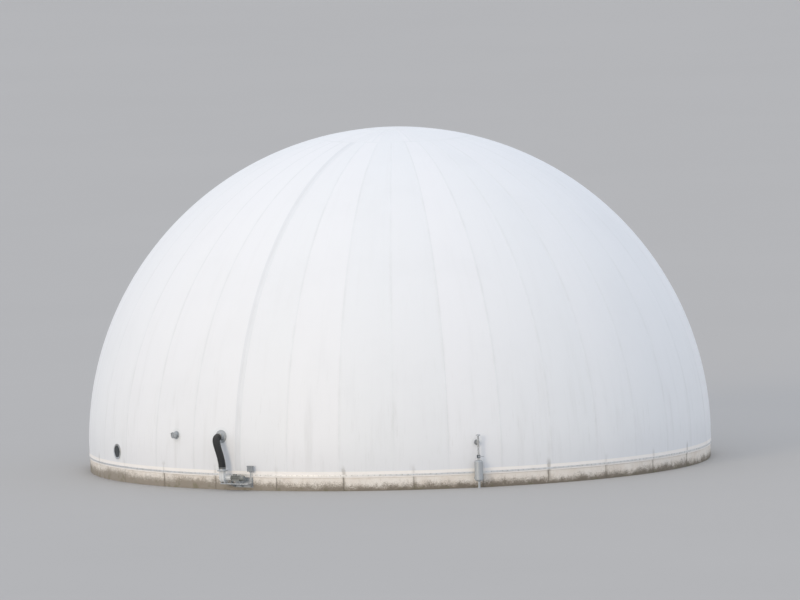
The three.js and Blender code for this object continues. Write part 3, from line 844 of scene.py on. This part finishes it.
def fan_guard():
    """The bell mouth on the intake, with a guard of rings and spokes in it."""
    bell = [(0.150, 0), (0.150, -0.006), (0.126, -0.010), (0.116, -0.020), (0.114, -0.058), (0.120, -0.068),
            (0.128, -0.072), (0.126, -0.069), (0.112, -0.060), (0.109, -0.020), (0.109, 0)]
    spokes = [[(-0.060, s * math.cos(a), s * math.sin(a)) for s in (-0.112, 0, 0.112)]
              for a in np.arange(3) * math.pi / 3]
    return [lathe(bell, 48, "x", ring=True),
            *(lathe(circle(0.0022, 6, (r, -0.064)), 40, "x", ring=True)
              for r in (0.022, 0.044, 0.066, 0.088, 0.110)),
            *(carry(spoke, circle(0.0025, 6)) for spoke in spokes)]


def drive_lantern():
    """The cast lantern between the snail and the motor: a flange at each end, a barrel and eight webs."""
    x0, x1 = MOTOR_X[0], BARREL_X - 0.010
    barrel = [(0.123, x0), (0.125, x0 + 0.002), (0.125, x0 + 0.016), (0.088, x0 + 0.022),
              (0.084, x0 + 0.060), (0.084, x1 - 0.050), (0.088, x1 - 0.016), (MOTOR_R, x1 - 0.014),
              (MOTOR_R, x1)]
    web = block((x0 + 0.014, x1 - 0.012), (0.080, 0.102), (-0.004, 0.004), 0.0015)
    return [lathe(barrel, 64, "x"), *(swung(web, angle) for angle in np.arange(8) * math.pi / 4)]


def motor_body():
    """A motor on feet: end shield, ribbed barrel, fan cowl and a terminal box."""
    x0, x1, r, core, base = BARREL_X, MOTOR_X[1], MOTOR_R, MOTOR_R - 0.014, -MOTOR_R - 0.020
    barrel = [(r - 0.004, x0 - 0.010), (r, x0 - 0.006), (r, x0 + 0.010), (core, x0 + 0.014), (core, COWL_X),
              (r + 0.004, COWL_X + 0.002), (r + 0.008, COWL_X + 0.010), (r + 0.008, x1 - 0.030),
              (r - 0.005, x1 - 0.010), (r - 0.03, x1 - 0.004)]
    fin = block((x0 + 0.006, COWL_X - 0.002), (core - 0.004, r), (-0.0022, 0.0022), 0.0006)
    a = np.arange(44) * 2 * np.pi / 44
    parts = [lathe(barrel, 64, "x"), *(swung(fin, angle) for angle in a[np.abs(np.sin(a)) < 0.93])]
    for n in (-0.088, 0.088):
        parts += [block((x0 + 0.05, x0 + 0.44), about(n, 0.02), (base, base + 0.012), 0.002, 0.006),
                  block((x0 + 0.06, x0 + 0.43), about(n, 0.006), (base, -0.06), 0.002)]
    return parts + [block((x0 + 0.090, x0 + 0.250), (-0.065, 0.065), (0.08, r + 0.045), 0.004, 0.015),
                    block((x0 + 0.085, x0 + 0.255), (-0.070, 0.070), (r + 0.045, r + 0.062), 0.004, 0.018)]


def cowl_grille():
    """The rings of the cowl's end, through which the motor draws its air."""
    return [lathe(circle(0.0028, 6, (r, MOTOR_X[1] - 0.003)), 36, "x", ring=True)
            for r in (0.018, 0.034, 0.050, 0.066)]


def console_bracket():
    """Wall plate, two beams on three arms with gussets, the motor's plinth and the switch box's post."""
    edge, n0, n1 = 0.0015, WALL_R + 0.010, BEAM_N[1][1]
    under, over, top = FRAME_Z - BEAM_H, FRAME_Z, FAN_Z - MOTOR_R - 0.020
    gusset = [(n0 - 0.002, PLATE_Z[0]), (n1 - 0.01, under - 0.012), (n1 - 0.01, under + 0.004),
              (n0 - 0.002, under + 0.004)]
    return [block(PLATE_X, (WALL_R - 0.010, n0), PLATE_Z, edge),
            block(POST_X, POST_N, (over - 0.002, SWITCH_Z[1] - 0.020), edge, 0.004),
            *(block(BEAM_X, n, (under, over), edge, 0.004) for n in BEAM_N),
            *(block(x, (n0 - 0.002, n1 - 0.001), (under + 0.001, over - 0.001), edge, 0.004) for x in ARM_X),
            *(prism(gusset, *about(sum(x) / 2, 0.005), edge, "x") for x in ARM_X),
            block(PEDESTAL_X, about(FAN_N, 0.12), (top - 0.008, top), edge),
            *(block((x, x + 0.008), about(FAN_N, 0.11), (over - 0.002, top - 0.004), edge)
              for x in (PEDESTAL_X[0] + 0.010, PEDESTAL_X[1] - 0.018))]


def switch_case():
    """The fan's switch box: a case with a door, a rain hood, a turning knob and two cable glands."""
    (x0, x1), (n0, n1), (z0, z1) = SWITCH_X, SWITCH_N, SWITCH_Z
    middle, height, wide = (x0 + x1) / 2, z0 + 0.150, (x0 - 0.015, x1 + 0.015)
    door = rectangle(x0 + 0.003, x1 - 0.003, z0 + 0.003, z1 - 0.008, 0.012)
    grip = rectangle(*about(middle, 0.007), *about(height, 0.026), 0.005)
    gland = [(0.009, -0.030), (0.012, -0.026), (0.012, -0.014), (0.015, -0.012), (0.015, 0.002)]
    return [block(SWITCH_X, (n0, n1 - 0.020), (z0, z1 - 0.002), 0.003, 0.006),
            prism(door, n1 - 0.018, n1 - 0.002, 0.003, "n"),
            block(wide, (n0, n1 + 0.022), (z1 - 0.003, z1 + 0.001), 0.001),
            block(wide, (n1 + 0.020, n1 + 0.023), (z1 - 0.018, z1), 0.001),
            lathe([(0.032, -0.004), (0.030, 0.008)], 28, "n", (middle, n1, height)),
            prism(grip, n1 + 0.006, n1 + 0.020, 0.002, "n"),
            spread(lathe(gland, 12), [(x, n0 + 0.050, z0) for x in about(middle, 0.045)])]


def flap_housing():
    """The non-return flap's box between its two rims, its axle and lever, and the stub for the hose."""
    half, wide, reach, r = FLAP_HALF, FLAP_HALF + 0.008, FLAP_HALF + 0.020, HOSE_R
    end = FLAP_Z[1] - FLAP_Z[0] + 0.05
    stub = [(0, 0.04), (r - 0.002, 0.050), (r - 0.009, 0.060), (r - 0.011, end), (r - 0.016, end),
            (0, end - 0.005)]
    axle = [(0.012, -reach), (0.014, 0.005 - reach), (0.014, reach - 0.005), (0.012, reach)]
    lever = rectangle(-0.062, 0.06, 0.018, 0.038, 0.008)
    return [block((-half, half), (-half, half), (0.002, 0.052), 0.003, 0.014), lathe(stub, 48),
            lathe(axle, 16, "x", (0, -0.05, 0.028)), prism(lever, -reach - 0.003, 0.005 - reach, 0.001, "x"),
            *(block((-wide, wide), (-wide, wide), (z, z + 0.006), 0.002, 0.014) for z in (0, 0.048))]


# The support-air hose

def hose_line(count):
    """The hose's line at even steps of its length, and how far along it each step lies.

    A cubic curve leaves the roof's stub level and meets the flap box from above. It is worked out at
    400 points, and the steps are found between them.
    """
    foot = at(FAN_AZ, FLAP_N, FLAP_Z[1]) + at(FAN_AZ + 90, FAN_X + FLAP_X, 0)
    p = [at(INLET_AZ, INLET_N, INLET_Z), at(INLET_AZ, INLET_N + HOSE_OUT, INLET_Z), foot + UP * HOSE_UP, foot]
    t = np.linspace(0, 1, 400)[:, None]
    curve = (1 - t) ** 3 * p[0] + 3 * (1 - t) ** 2 * t * p[1] + 3 * (1 - t) * t ** 2 * p[2] + t ** 3 * p[3]
    run = np.concatenate([[0], np.cumsum(np.linalg.norm(np.diff(curve, axis=0), axis=1))])
    steps = np.linspace(0, run[-1], count)
    return np.stack([np.interp(steps, run, axis) for axis in curve.T], axis=1), steps


def ribbed_hose():
    """The hose: a circle carried along its line, swelling and shrinking by 7 mm a rib, plain at its ends."""
    path, s = hose_line(420)
    wave = np.cos(2 * np.pi * round(s[-1] / 0.042) * s / s[-1])
    scale = 1 - 0.045 * (0.5 - 0.5 * np.sign(wave) * np.abs(wave) ** 0.6)
    return [carry(path, circle(HOSE_R, 40), np.where(np.minimum(s, s[-1] - s) < 0.09, 0.975, scale))]


def hose_clips():
    """Two band clips at each end of the hose, each with its screw housing beside the band."""
    path, steps = hose_line(400)
    tangent, radius, parts = unit(np.gradient(path, axis=0)), HOSE_R * 0.975, []
    for s in (0.030, 0.062, steps[-1] - 0.062, steps[-1] - 0.030):
        i = round(s / steps[-1] * 399)
        point, t = path[i], tangent[i]
        side = unit(np.cross(t, UP if abs(t @ UP) < 0.9 else [0, 1.0, 0]))
        out = np.cross(side, t)
        out = out if out @ point > 0 or abs(out[2]) > 0.5 else -out
        band = point + t * np.array([[-0.007], [-0.006], [0.006], [0.007]])
        screw = point + out * (radius + 0.010) + side * np.array([[-0.020], [-0.018], [0.018], [0.020]])
        parts += [carry(band, circle(radius + 0.004, 48), [0.99, 1, 1, 0.99]),
                  carry(screw, circle(0.008, 12), [0.8, 1, 1, 0.8])]
    return parts


# Fittings on the roof. Their z is counted from their own middle. Their n is counted from the roof's
# outside, and the outlet hood's from the tank's axis.

def roof_face(z):
    """How far out the roof's outside lies at a height."""
    return math.sqrt(SPHERE_R ** 2 - (z - SPHERE_Z) ** 2)


def on_roof(az, z):
    """What moves a fitting to its place on the roof's outside."""
    return station(az, 0, roof_face(z), z)


def roof_collar(z, flange_r, thick, stub_r, end, fixing, count):
    """A round flange that leans with the fabric, its ring of bolts, and the level stub that leaves it.

    The stub ends at a distance from the tank's axis.
    """
    disc = [(flange_r, -0.04), (flange_r, thick - 0.003), (flange_r - 0.003, thick), (stub_r + 0.008, thick),
            (stub_r - 0.002, thick + 0.008)]
    lean, end = math.asin((z - SPHERE_Z) / SPHERE_R), end - roof_face(z)
    return [swung(lathe(disc, 64, "n"), lean),
            swung(encircle(fixing, count, flange_r - 0.032, "n", (0, thick, 0)), lean),
            lathe([(stub_r, -0.02), (stub_r, end - 0.002), (stub_r - 0.002, end)], 64, "n")]


def inlet_flange():
    """The air inlet's flange and stub, with twelve bolts."""
    return roof_collar(INLET_Z, INLET_FLANGE_R, thick=0.022, stub_r=HOSE_R * 0.93, end=INLET_N + 0.06,
                       fixing=bolt(0.009, 0.007, 0.014), count=12)


def outlet_flange():
    """The air outlet's flange and stub, with eight bolts."""
    return roof_collar(OUTLET_Z, OUTLET_FLANGE_R, thick=0.020, stub_r=OUTLET_R[0], end=OUTLET_N[0] + 0.012,
                       fixing=bolt(0.008, 0.006, 0.013), count=8)


def outlet_hood():
    """The weighted flap's drum with a rolled rim, its pivot and weight, and a rain hood over it."""
    r, reach, (n0, n1) = OUTLET_R[1], OUTLET_R[1] + 0.014, OUTLET_N
    drum = [(r - 0.015, n0 + 0.002), (r - 0.002, n0 + 0.014), (r, n0 + 0.030), (r, n1 - 0.010),
            (r + 0.004, n1 - 0.005), (r, n1), (r - 0.006, n1 - 0.004), (r - 0.010, n1 - 0.030),
            (0, n1 - 0.032)]
    flap = [(r - 0.022, n1 - 0.040), (r - 0.020, n1 - 0.024), (r - 0.030, n1 - 0.020), (0, n1 - 0.018)]
    weight = [(0.024, -0.03), (0.026, -0.026), (0.026, 0.026), (0.024, 0.03)]
    a = np.radians(np.linspace(25, 155, 22))
    over, under = (np.column_stack([(r + 0.012 + by) * np.cos(a), (r + by) * np.sin(a)])
                   for by in (0.010, 0.006))
    hood = np.concatenate([over, under[::-1]])
    return [lathe(drum, 56, "n"), lathe(flap, 48, "n"), prism(hood, n0 + 0.005, n1 + 0.014, 0.0008, "n"),
            lathe([(0.008, -reach), (0.008, reach)], 14, "x", (0, n1 - 0.012, 0.074)),
            lathe(weight, 24, "x", (0, n1 - 0.006, -0.045)),
            block((-0.006, 0.006), (n1 - 0.014, n1 - 0.004), (-0.055, 0.078), 0.001)]


def sight_frame():
    """The window's clamping ring with twenty bolts."""
    r0, r1 = WINDOW_R
    section = [(r0, -0.032), (r1, -0.032), (r1, 0.024), (r1 - 0.004, 0.028), (r0 + 0.010, 0.028), (r0, 0.022)]
    return [lathe(section, 72, "n", ring=True),
            encircle(bolt(0.008, 0.006, 0.013), 20, (r0 + r1) / 2 + 0.006, "n", (0, 0.028, 0))]


def sight_pane():
    """The pane, domed by less than 2 mm so that it glints: a thick disc with a broken edge."""
    r = WINDOW_R[0] - 0.004
    return [lathe([(r, -0.036), (r, 0.011), (r - 0.003, 0.014), (r * 0.5, 0.0152), (0, 0.0156)], 64, "n")]


def sight_gasket():
    """The rubber ring that beds the pane."""
    return [lathe(circle(0.006, 10, (WINDOW_R[0] - 0.002, 0.018)), 72, "n", ring=True)]


# The gas line

BY_BRANCH = station(GAS_AZ, 0, GAS_N, BRANCH_Z)


def on_pot(z=0.0):
    """What moves a surface to a height on the pot's axis, without turning it."""
    return lambda surface: (surface[0] + at(GAS_AZ, GAS_N, z), surface[1])


def rim_plate(low, high, turns, along="z"):
    """One plate of a flange pair on the pipe: a flat ring with broken edges between two heights."""
    inner, r = PIPE_R - 0.005, RIM_R
    return lathe([(inner, low), (r - 0.002, low), (r, low + 0.002), (r, high - 0.002), (r - 0.002, high),
                  (inner, high)], turns, along, ring=True)


def gas_flange():
    """The collar where the gas leaves the roof: bolted flange, stub and one plate of the flange pair."""
    end = GAS_N - TEE
    joint = end - roof_face(BRANCH_Z)
    collar = roof_collar(BRANCH_Z, GAS_COLLAR_R, thick=0.020, stub_r=PIPE_R, end=end - 0.002,
                         fixing=bolt(0.008, 0.006, 0.012), count=8)
    return [*collar, rim_plate(joint - RIM_T, joint - 0.0005, 40, "n")]


def riser():
    """The upright pipe over the pot, 90 mm across, with the branch that meets the collar."""
    stem = lathe([(PIPE_R, POT_Z[1] - 0.004), (PIPE_R, RISER_TOP + 0.002)], 40)
    branch = lathe([(PIPE_R, 0.002 - TEE), (PIPE_R, 0)], 40, "n")
    return [on_pot()(stem), BY_BRANCH(branch), BY_BRANCH(rim_plate(0.0005 - TEE, RIM_T - TEE, 40, "n"))]


def branch_bolts():
    """Eight bolts through the flange pair on the branch, a nut at each end."""
    profile = [(0.009, -0.026), (0.009, -0.018), (0.005, -0.017), (0.005, 0.016), (0.009, 0.017),
               (0.009, 0.026)]
    return [encircle(lathe(profile, 6), 8, 0.067, "n", (0, -TEE, 0))]


def pipe_welds():
    """Weld beads: round the branch's saddle on the riser and round the riser's foot on the pot."""
    a, inward = np.linspace(0, 2 * np.pi, 49)[:, None], -at(GAS_AZ, 1.0, 0.0)
    saddle = PIPE_R * (np.cross(UP, inward) * np.cos(a) + UP * np.sin(a) + inward * np.abs(np.sin(a)))
    foot = [(PIPE_R - 0.005, -0.006), (PIPE_R + 0.008, -0.006), (PIPE_R + 0.002, 0.008),
            (PIPE_R - 0.005, 0.008)]
    return [carry(at(GAS_AZ, GAS_N, BRANCH_Z) + saddle, circle(0.004, 8)),
            on_pot(POT_Z[1])(lathe(foot, 40, ring=True))]


def pot_end(neck):
    """The curve of a dished end in (radius, height), from its neck out to the drum."""
    t = np.linspace(math.asin(neck / POT_R), math.pi / 2, 9)
    return np.stack([POT_R * np.sin(t), POT_END * (1 - np.cos(t))], axis=1)


def seal_pot():
    """The pot of the over-pressure seal: a welded drum with dished ends on a neck, and its drain tap."""
    low, high = POT_Z
    bead = np.array([(0, -0.006), (0.0025, -0.003), (0.0035, 0), (0.0025, 0.003), (0, 0.006)])
    drum = np.concatenate([
        [[POT_LEG_R, FLANGE_T - 0.002]], pot_end(POT_LEG_R) + [0, low],
        bead + [POT_R, low + POT_END + 0.012], bead + [POT_R, high - POT_END - 0.012],
        pot_end(PIPE_R)[::-1] * [1, -1] + [0, high]])
    tap = [(0.013, 0), (0.013, 0.035), (0.023, 0.037), (0.023, 0.082), (0.013, 0.084), (0.013, 0.110),
           (0.009, 0.110), (0, 0.106)]
    lever = block((-0.010, 0.080), (0.052, 0.068), (0.026, 0.030), 0.001, 0.006)
    stem = block((-0.006, 0.006), (0.054, 0.066), (0.018, 0.028), 0.001)
    by_tap = station(GAS_AZ, 0, GAS_N + POT_LEG_R - 0.005, 0.170)
    return [on_pot()(lathe(drum, 64)), *map(by_tap, (lathe(tap, 20, "n"), lever, stem))]


def foot_flange():
    """The flange pair at the ground: a plate with a raised hub and eight bolts."""
    r, leg, top = FLANGE_R, POT_LEG_R, FLANGE_T
    plate = [(r - 0.002, 0), (r, 0.002), (r, top - 0.002), (r - 0.002, top), (leg + 0.012, top),
             (leg + 0.003, top + 0.016)]
    return [lathe(plate, 56), encircle(bolt(0.009, 0.007, 0.014), 8, 0.088, middle=(0, 0, top))]


def valve_body():
    """A butterfly valve between two flanges, with eight rods through all three."""
    inner, r = PIPE_R - 0.005, VALVE_R
    body = [(inner, -0.041), (r - 0.004, -0.041), (r, -0.026), (r, 0.026), (r - 0.004, 0.041), (inner, 0.041)]
    rod = [(0.010, -0.070), (0.010, -0.061), (0.005, -0.060), (0.005, 0.060), (0.010, 0.061), (0.010, 0.070)]
    return [rim_plate(-0.060, -0.042, 48), rim_plate(0.042, 0.060, 48), lathe(body, 48, ring=True),
            encircle(lathe(rod, 6), 8, 0.073)]


def valve_handle():
    """The lever on the valve's stem: a flat bar with a rounded grip, and a round plate under it."""
    stem = [(0.018, -0.01), (0.016, 0.022), (0.010, 0.024), (0.010, 0.054), (0, 0.055)]
    return [lathe(stem, 24, "n"),
            prism(rectangle(-0.018, 0.140, -0.013, 0.013, 0.010), 0.040, 0.047, 0.0015, "n"),
            prism(rectangle(0.135, 0.230, -0.013, 0.013, 0.012), 0.037, 0.051, 0.005, "n"),
            lathe([(0.042, 0.018), (0.042, 0.022)], 20, "n")]


def vent_hat():
    """The rain hat on the riser: neck, spun hood and a ring of bars between."""
    neck, a = [(0.050, 0), (0.050, 0.012), (0.036, 0.014), (0.036, 0.055)], np.linspace(0, math.pi / 2, 9)
    crown = np.column_stack([0.022 + 0.076 * np.cos(a), 0.060 + 0.044 * np.sin(a)])
    hood = [(0, 0.048), (0.078, 0.046), (0.097, 0.040), (0.100, 0.042), *crown, (0, 0.105)]
    bar = carry([(0, 0, 0.010), (0, 0, 0.050)], circle(0.003, 6))
    return [lathe(neck, 32), lathe(hood, 40), encircle(bar, 12, 0.045)]


def pot_clamp():
    """The wall bracket: plate, arm and a split clamp round the pot with its two bolts."""
    (z0, z1), face, r, ears = CLAMP_Z, WALL_R + 0.010, POT_R, about(0, POT_R + 0.018)
    middle = (z0 + z1) / 2
    band = [(r + 0.0005, z0), (r + 0.008, z0), (r + 0.008, z1), (r + 0.0005, z1)]
    return [block((-0.130, 0.130), (WALL_R - 0.010, face), (z0 - 0.020, z1 + 0.020), 0.002, 0.006),
            block((-0.035, 0.035), (WALL_R, GAS_N - r + 0.003), (z0 + 0.004, z1 - 0.004), 0.002),
            lathe(band, 64, middle=(0, GAS_N, 0), ring=True),
            spread(bolt(0.008, 0.006, 0.012), [(x, GAS_N + 0.014, middle) for x in ears], "n"),
            spread(bolt(0.010, 0.008, 0.016), [(x, face, middle) for x in (-0.095, 0.095)], "n"),
            *(block(about(x, 0.014), about(GAS_N, 0.014), CLAMP_Z, 0.002) for x in ears)]


# All the pieces, named as their functions: each with its finish, what moves it, and what it stands for

def numbered(stem):
    """The names of all the nodes that begin with a word."""
    return sorted(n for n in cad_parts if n.startswith(stem))


ON_WINDOW = on_roof(WINDOW_AZ, WINDOW_Z)
PIECES = (
    (roof_dome, FABRIC, None, "outer_membrane"),
    (roof_skirt, FABRIC, None),
    (gore_seams, STRIP, None),
    (closing_seam, OLD_STRIP, None),
    (cap_ring_weld, STRIP, None),
    (apex_cover, STRIP, None, "apex_patch"),
    (roof_patches, STRIP, None),
    (hem_welt, FABRIC, None),
    (wall_panels, CONCRETE, None, *numbered("wall_segment")),
    (joint_seals, SEALANT, None),
    (anchor_plugs, CONCRETE, None),
    (clamp_rails, ALUMINIUM, None, *numbered("clamp_rail")),
    (rail_bolts, STAINLESS, None),
    (fan_housing, HOUSING, BY_FAN, "fan_scroll"),
    (fan_bolts, ZINC, BY_FAN),
    (fan_guard, ZINC, BY_INTAKE, "fan_inlet_guard"),
    (drive_lantern, HOUSING, BY_SHAFT),
    (motor_body, MOTOR, BY_SHAFT, "fan_motor"),
    (cowl_grille, ZINC, BY_SHAFT),
    (console_bracket, ZINC, BY_FAN, "fan_console"),
    (switch_case, CASE, BY_FAN, "fan_switch_box"),
    (flap_housing, ZINC, BY_FLAP, "flap_box"),
    (ribbed_hose, RUBBER, None, "air_hose"),
    (hose_clips, STAINLESS, None),
    (inlet_flange, ZINC, on_roof(INLET_AZ, INLET_Z), "inlet_collar"),
    (outlet_flange, ZINC, on_roof(OUTLET_AZ, OUTLET_Z), "outlet_collar"),
    (outlet_hood, ZINC, station(OUTLET_AZ, z=OUTLET_Z), "outlet_flap"),
    (sight_frame, STAINLESS, ON_WINDOW, "window_frame"),
    (sight_pane, GLASS, ON_WINDOW, "window_glass"),
    (sight_gasket, RUBBER, ON_WINDOW),
    (gas_flange, STAINLESS, on_roof(GAS_AZ, BRANCH_Z), "gas_collar"),
    (riser, STAINLESS, None, "gas_riser"),
    (branch_bolts, ZINC, BY_BRANCH),
    (pipe_welds, STAINLESS, None),
    (seal_pot, ZINC, None, "relief_pot"),
    (foot_flange, STAINLESS, on_pot(), "gas_foot_flange"),
    (valve_body, VALVE, on_pot(VALVE_Z), "gas_valve"),
    (valve_handle, ZINC, station(GAS_AZ, 0, GAS_N + VALVE_R, VALVE_Z), "valve_lever"),
    (vent_hat, ZINC, on_pot(RISER_TOP), "relief_hat"),
    (pot_clamp, ZINC, station(GAS_AZ), "pot_bracket"),
)
for build, (material, slot), move, *nodes in PIECES:
    surface = join(build())
    make(build.__name__, move(surface) if move else surface, material, nodes)


# The stage

def floor():
    """A plain pale floor that reaches far behind the tank."""
    mesh, reach = bpy.data.meshes.new("floor"), 900.0
    corners = [(-reach, -reach, 0), (reach, -reach, 0), (reach, reach, 0), (-reach, reach, 0)]
    mesh.from_pydata(corners, [], [(0, 1, 2, 3)])
    coat, place = begin("plain_floor", Roughness=0.9)
    shades = node(coat, "TexNoise", place, 1000 / 20000, 3.0)
    mesh.materials.append(finish(coat, layered(coat, "#B4B2AE", ("#B8B6B2", shades))))
    put("floor", mesh)


def sun(azimuth, elevation, strength, angle, colour):
    """A distant lamp: where it stands, how strong, how soft and what colour."""
    lamp = bpy.data.lights.new("sun", "SUN")
    lamp.energy = strength
    lamp.angle = math.radians(angle)
    lamp.color = linear(colour)[:3]
    towards = Vector(at(azimuth, 1.0, math.tan(math.radians(elevation)))).normalized()
    put("sun", lamp).rotation_euler = towards.to_track_quat("Z", "Y").to_euler()


def sky():
    """An even pale sky, bluer than the sun."""
    world = bpy.data.worlds.new("sky")
    world.use_nodes = True
    world.node_tree.nodes["Background"].inputs[0].default_value = linear("#ECF1FC")
    world.node_tree.nodes["Background"].inputs[1].default_value = 1.0
    bpy.context.scene.world = world


def camera():
    """A long lens from far off, at the photograph's height and tilt."""
    lens = bpy.data.cameras.new("camera")
    lens.sensor_width = SENSOR
    lens.lens = SENSOR * CAMERA_DISTANCE / FRAME_WIDTH
    lens.clip_start, lens.clip_end = 10, 5000
    made = put("camera", lens)
    e = math.radians(CAMERA_ELEVATION)
    back = Vector((0, -math.cos(e), math.sin(e)))
    made.location = CAMERA_AIM + back * CAMERA_DISTANCE
    made.rotation_euler = (-back).to_track_quat("-Z", "Y").to_euler()
    made.rotation_euler.rotate_axis("Z", -math.radians(CAMERA_ROLL))
    bpy.context.scene.camera = made


bpy.context.scene.view_settings.view_transform = "Standard"
floor()
sun(azimuth=-35, elevation=15, strength=0.867, angle=20.0, colour="#FFECD1")
sky()
camera()
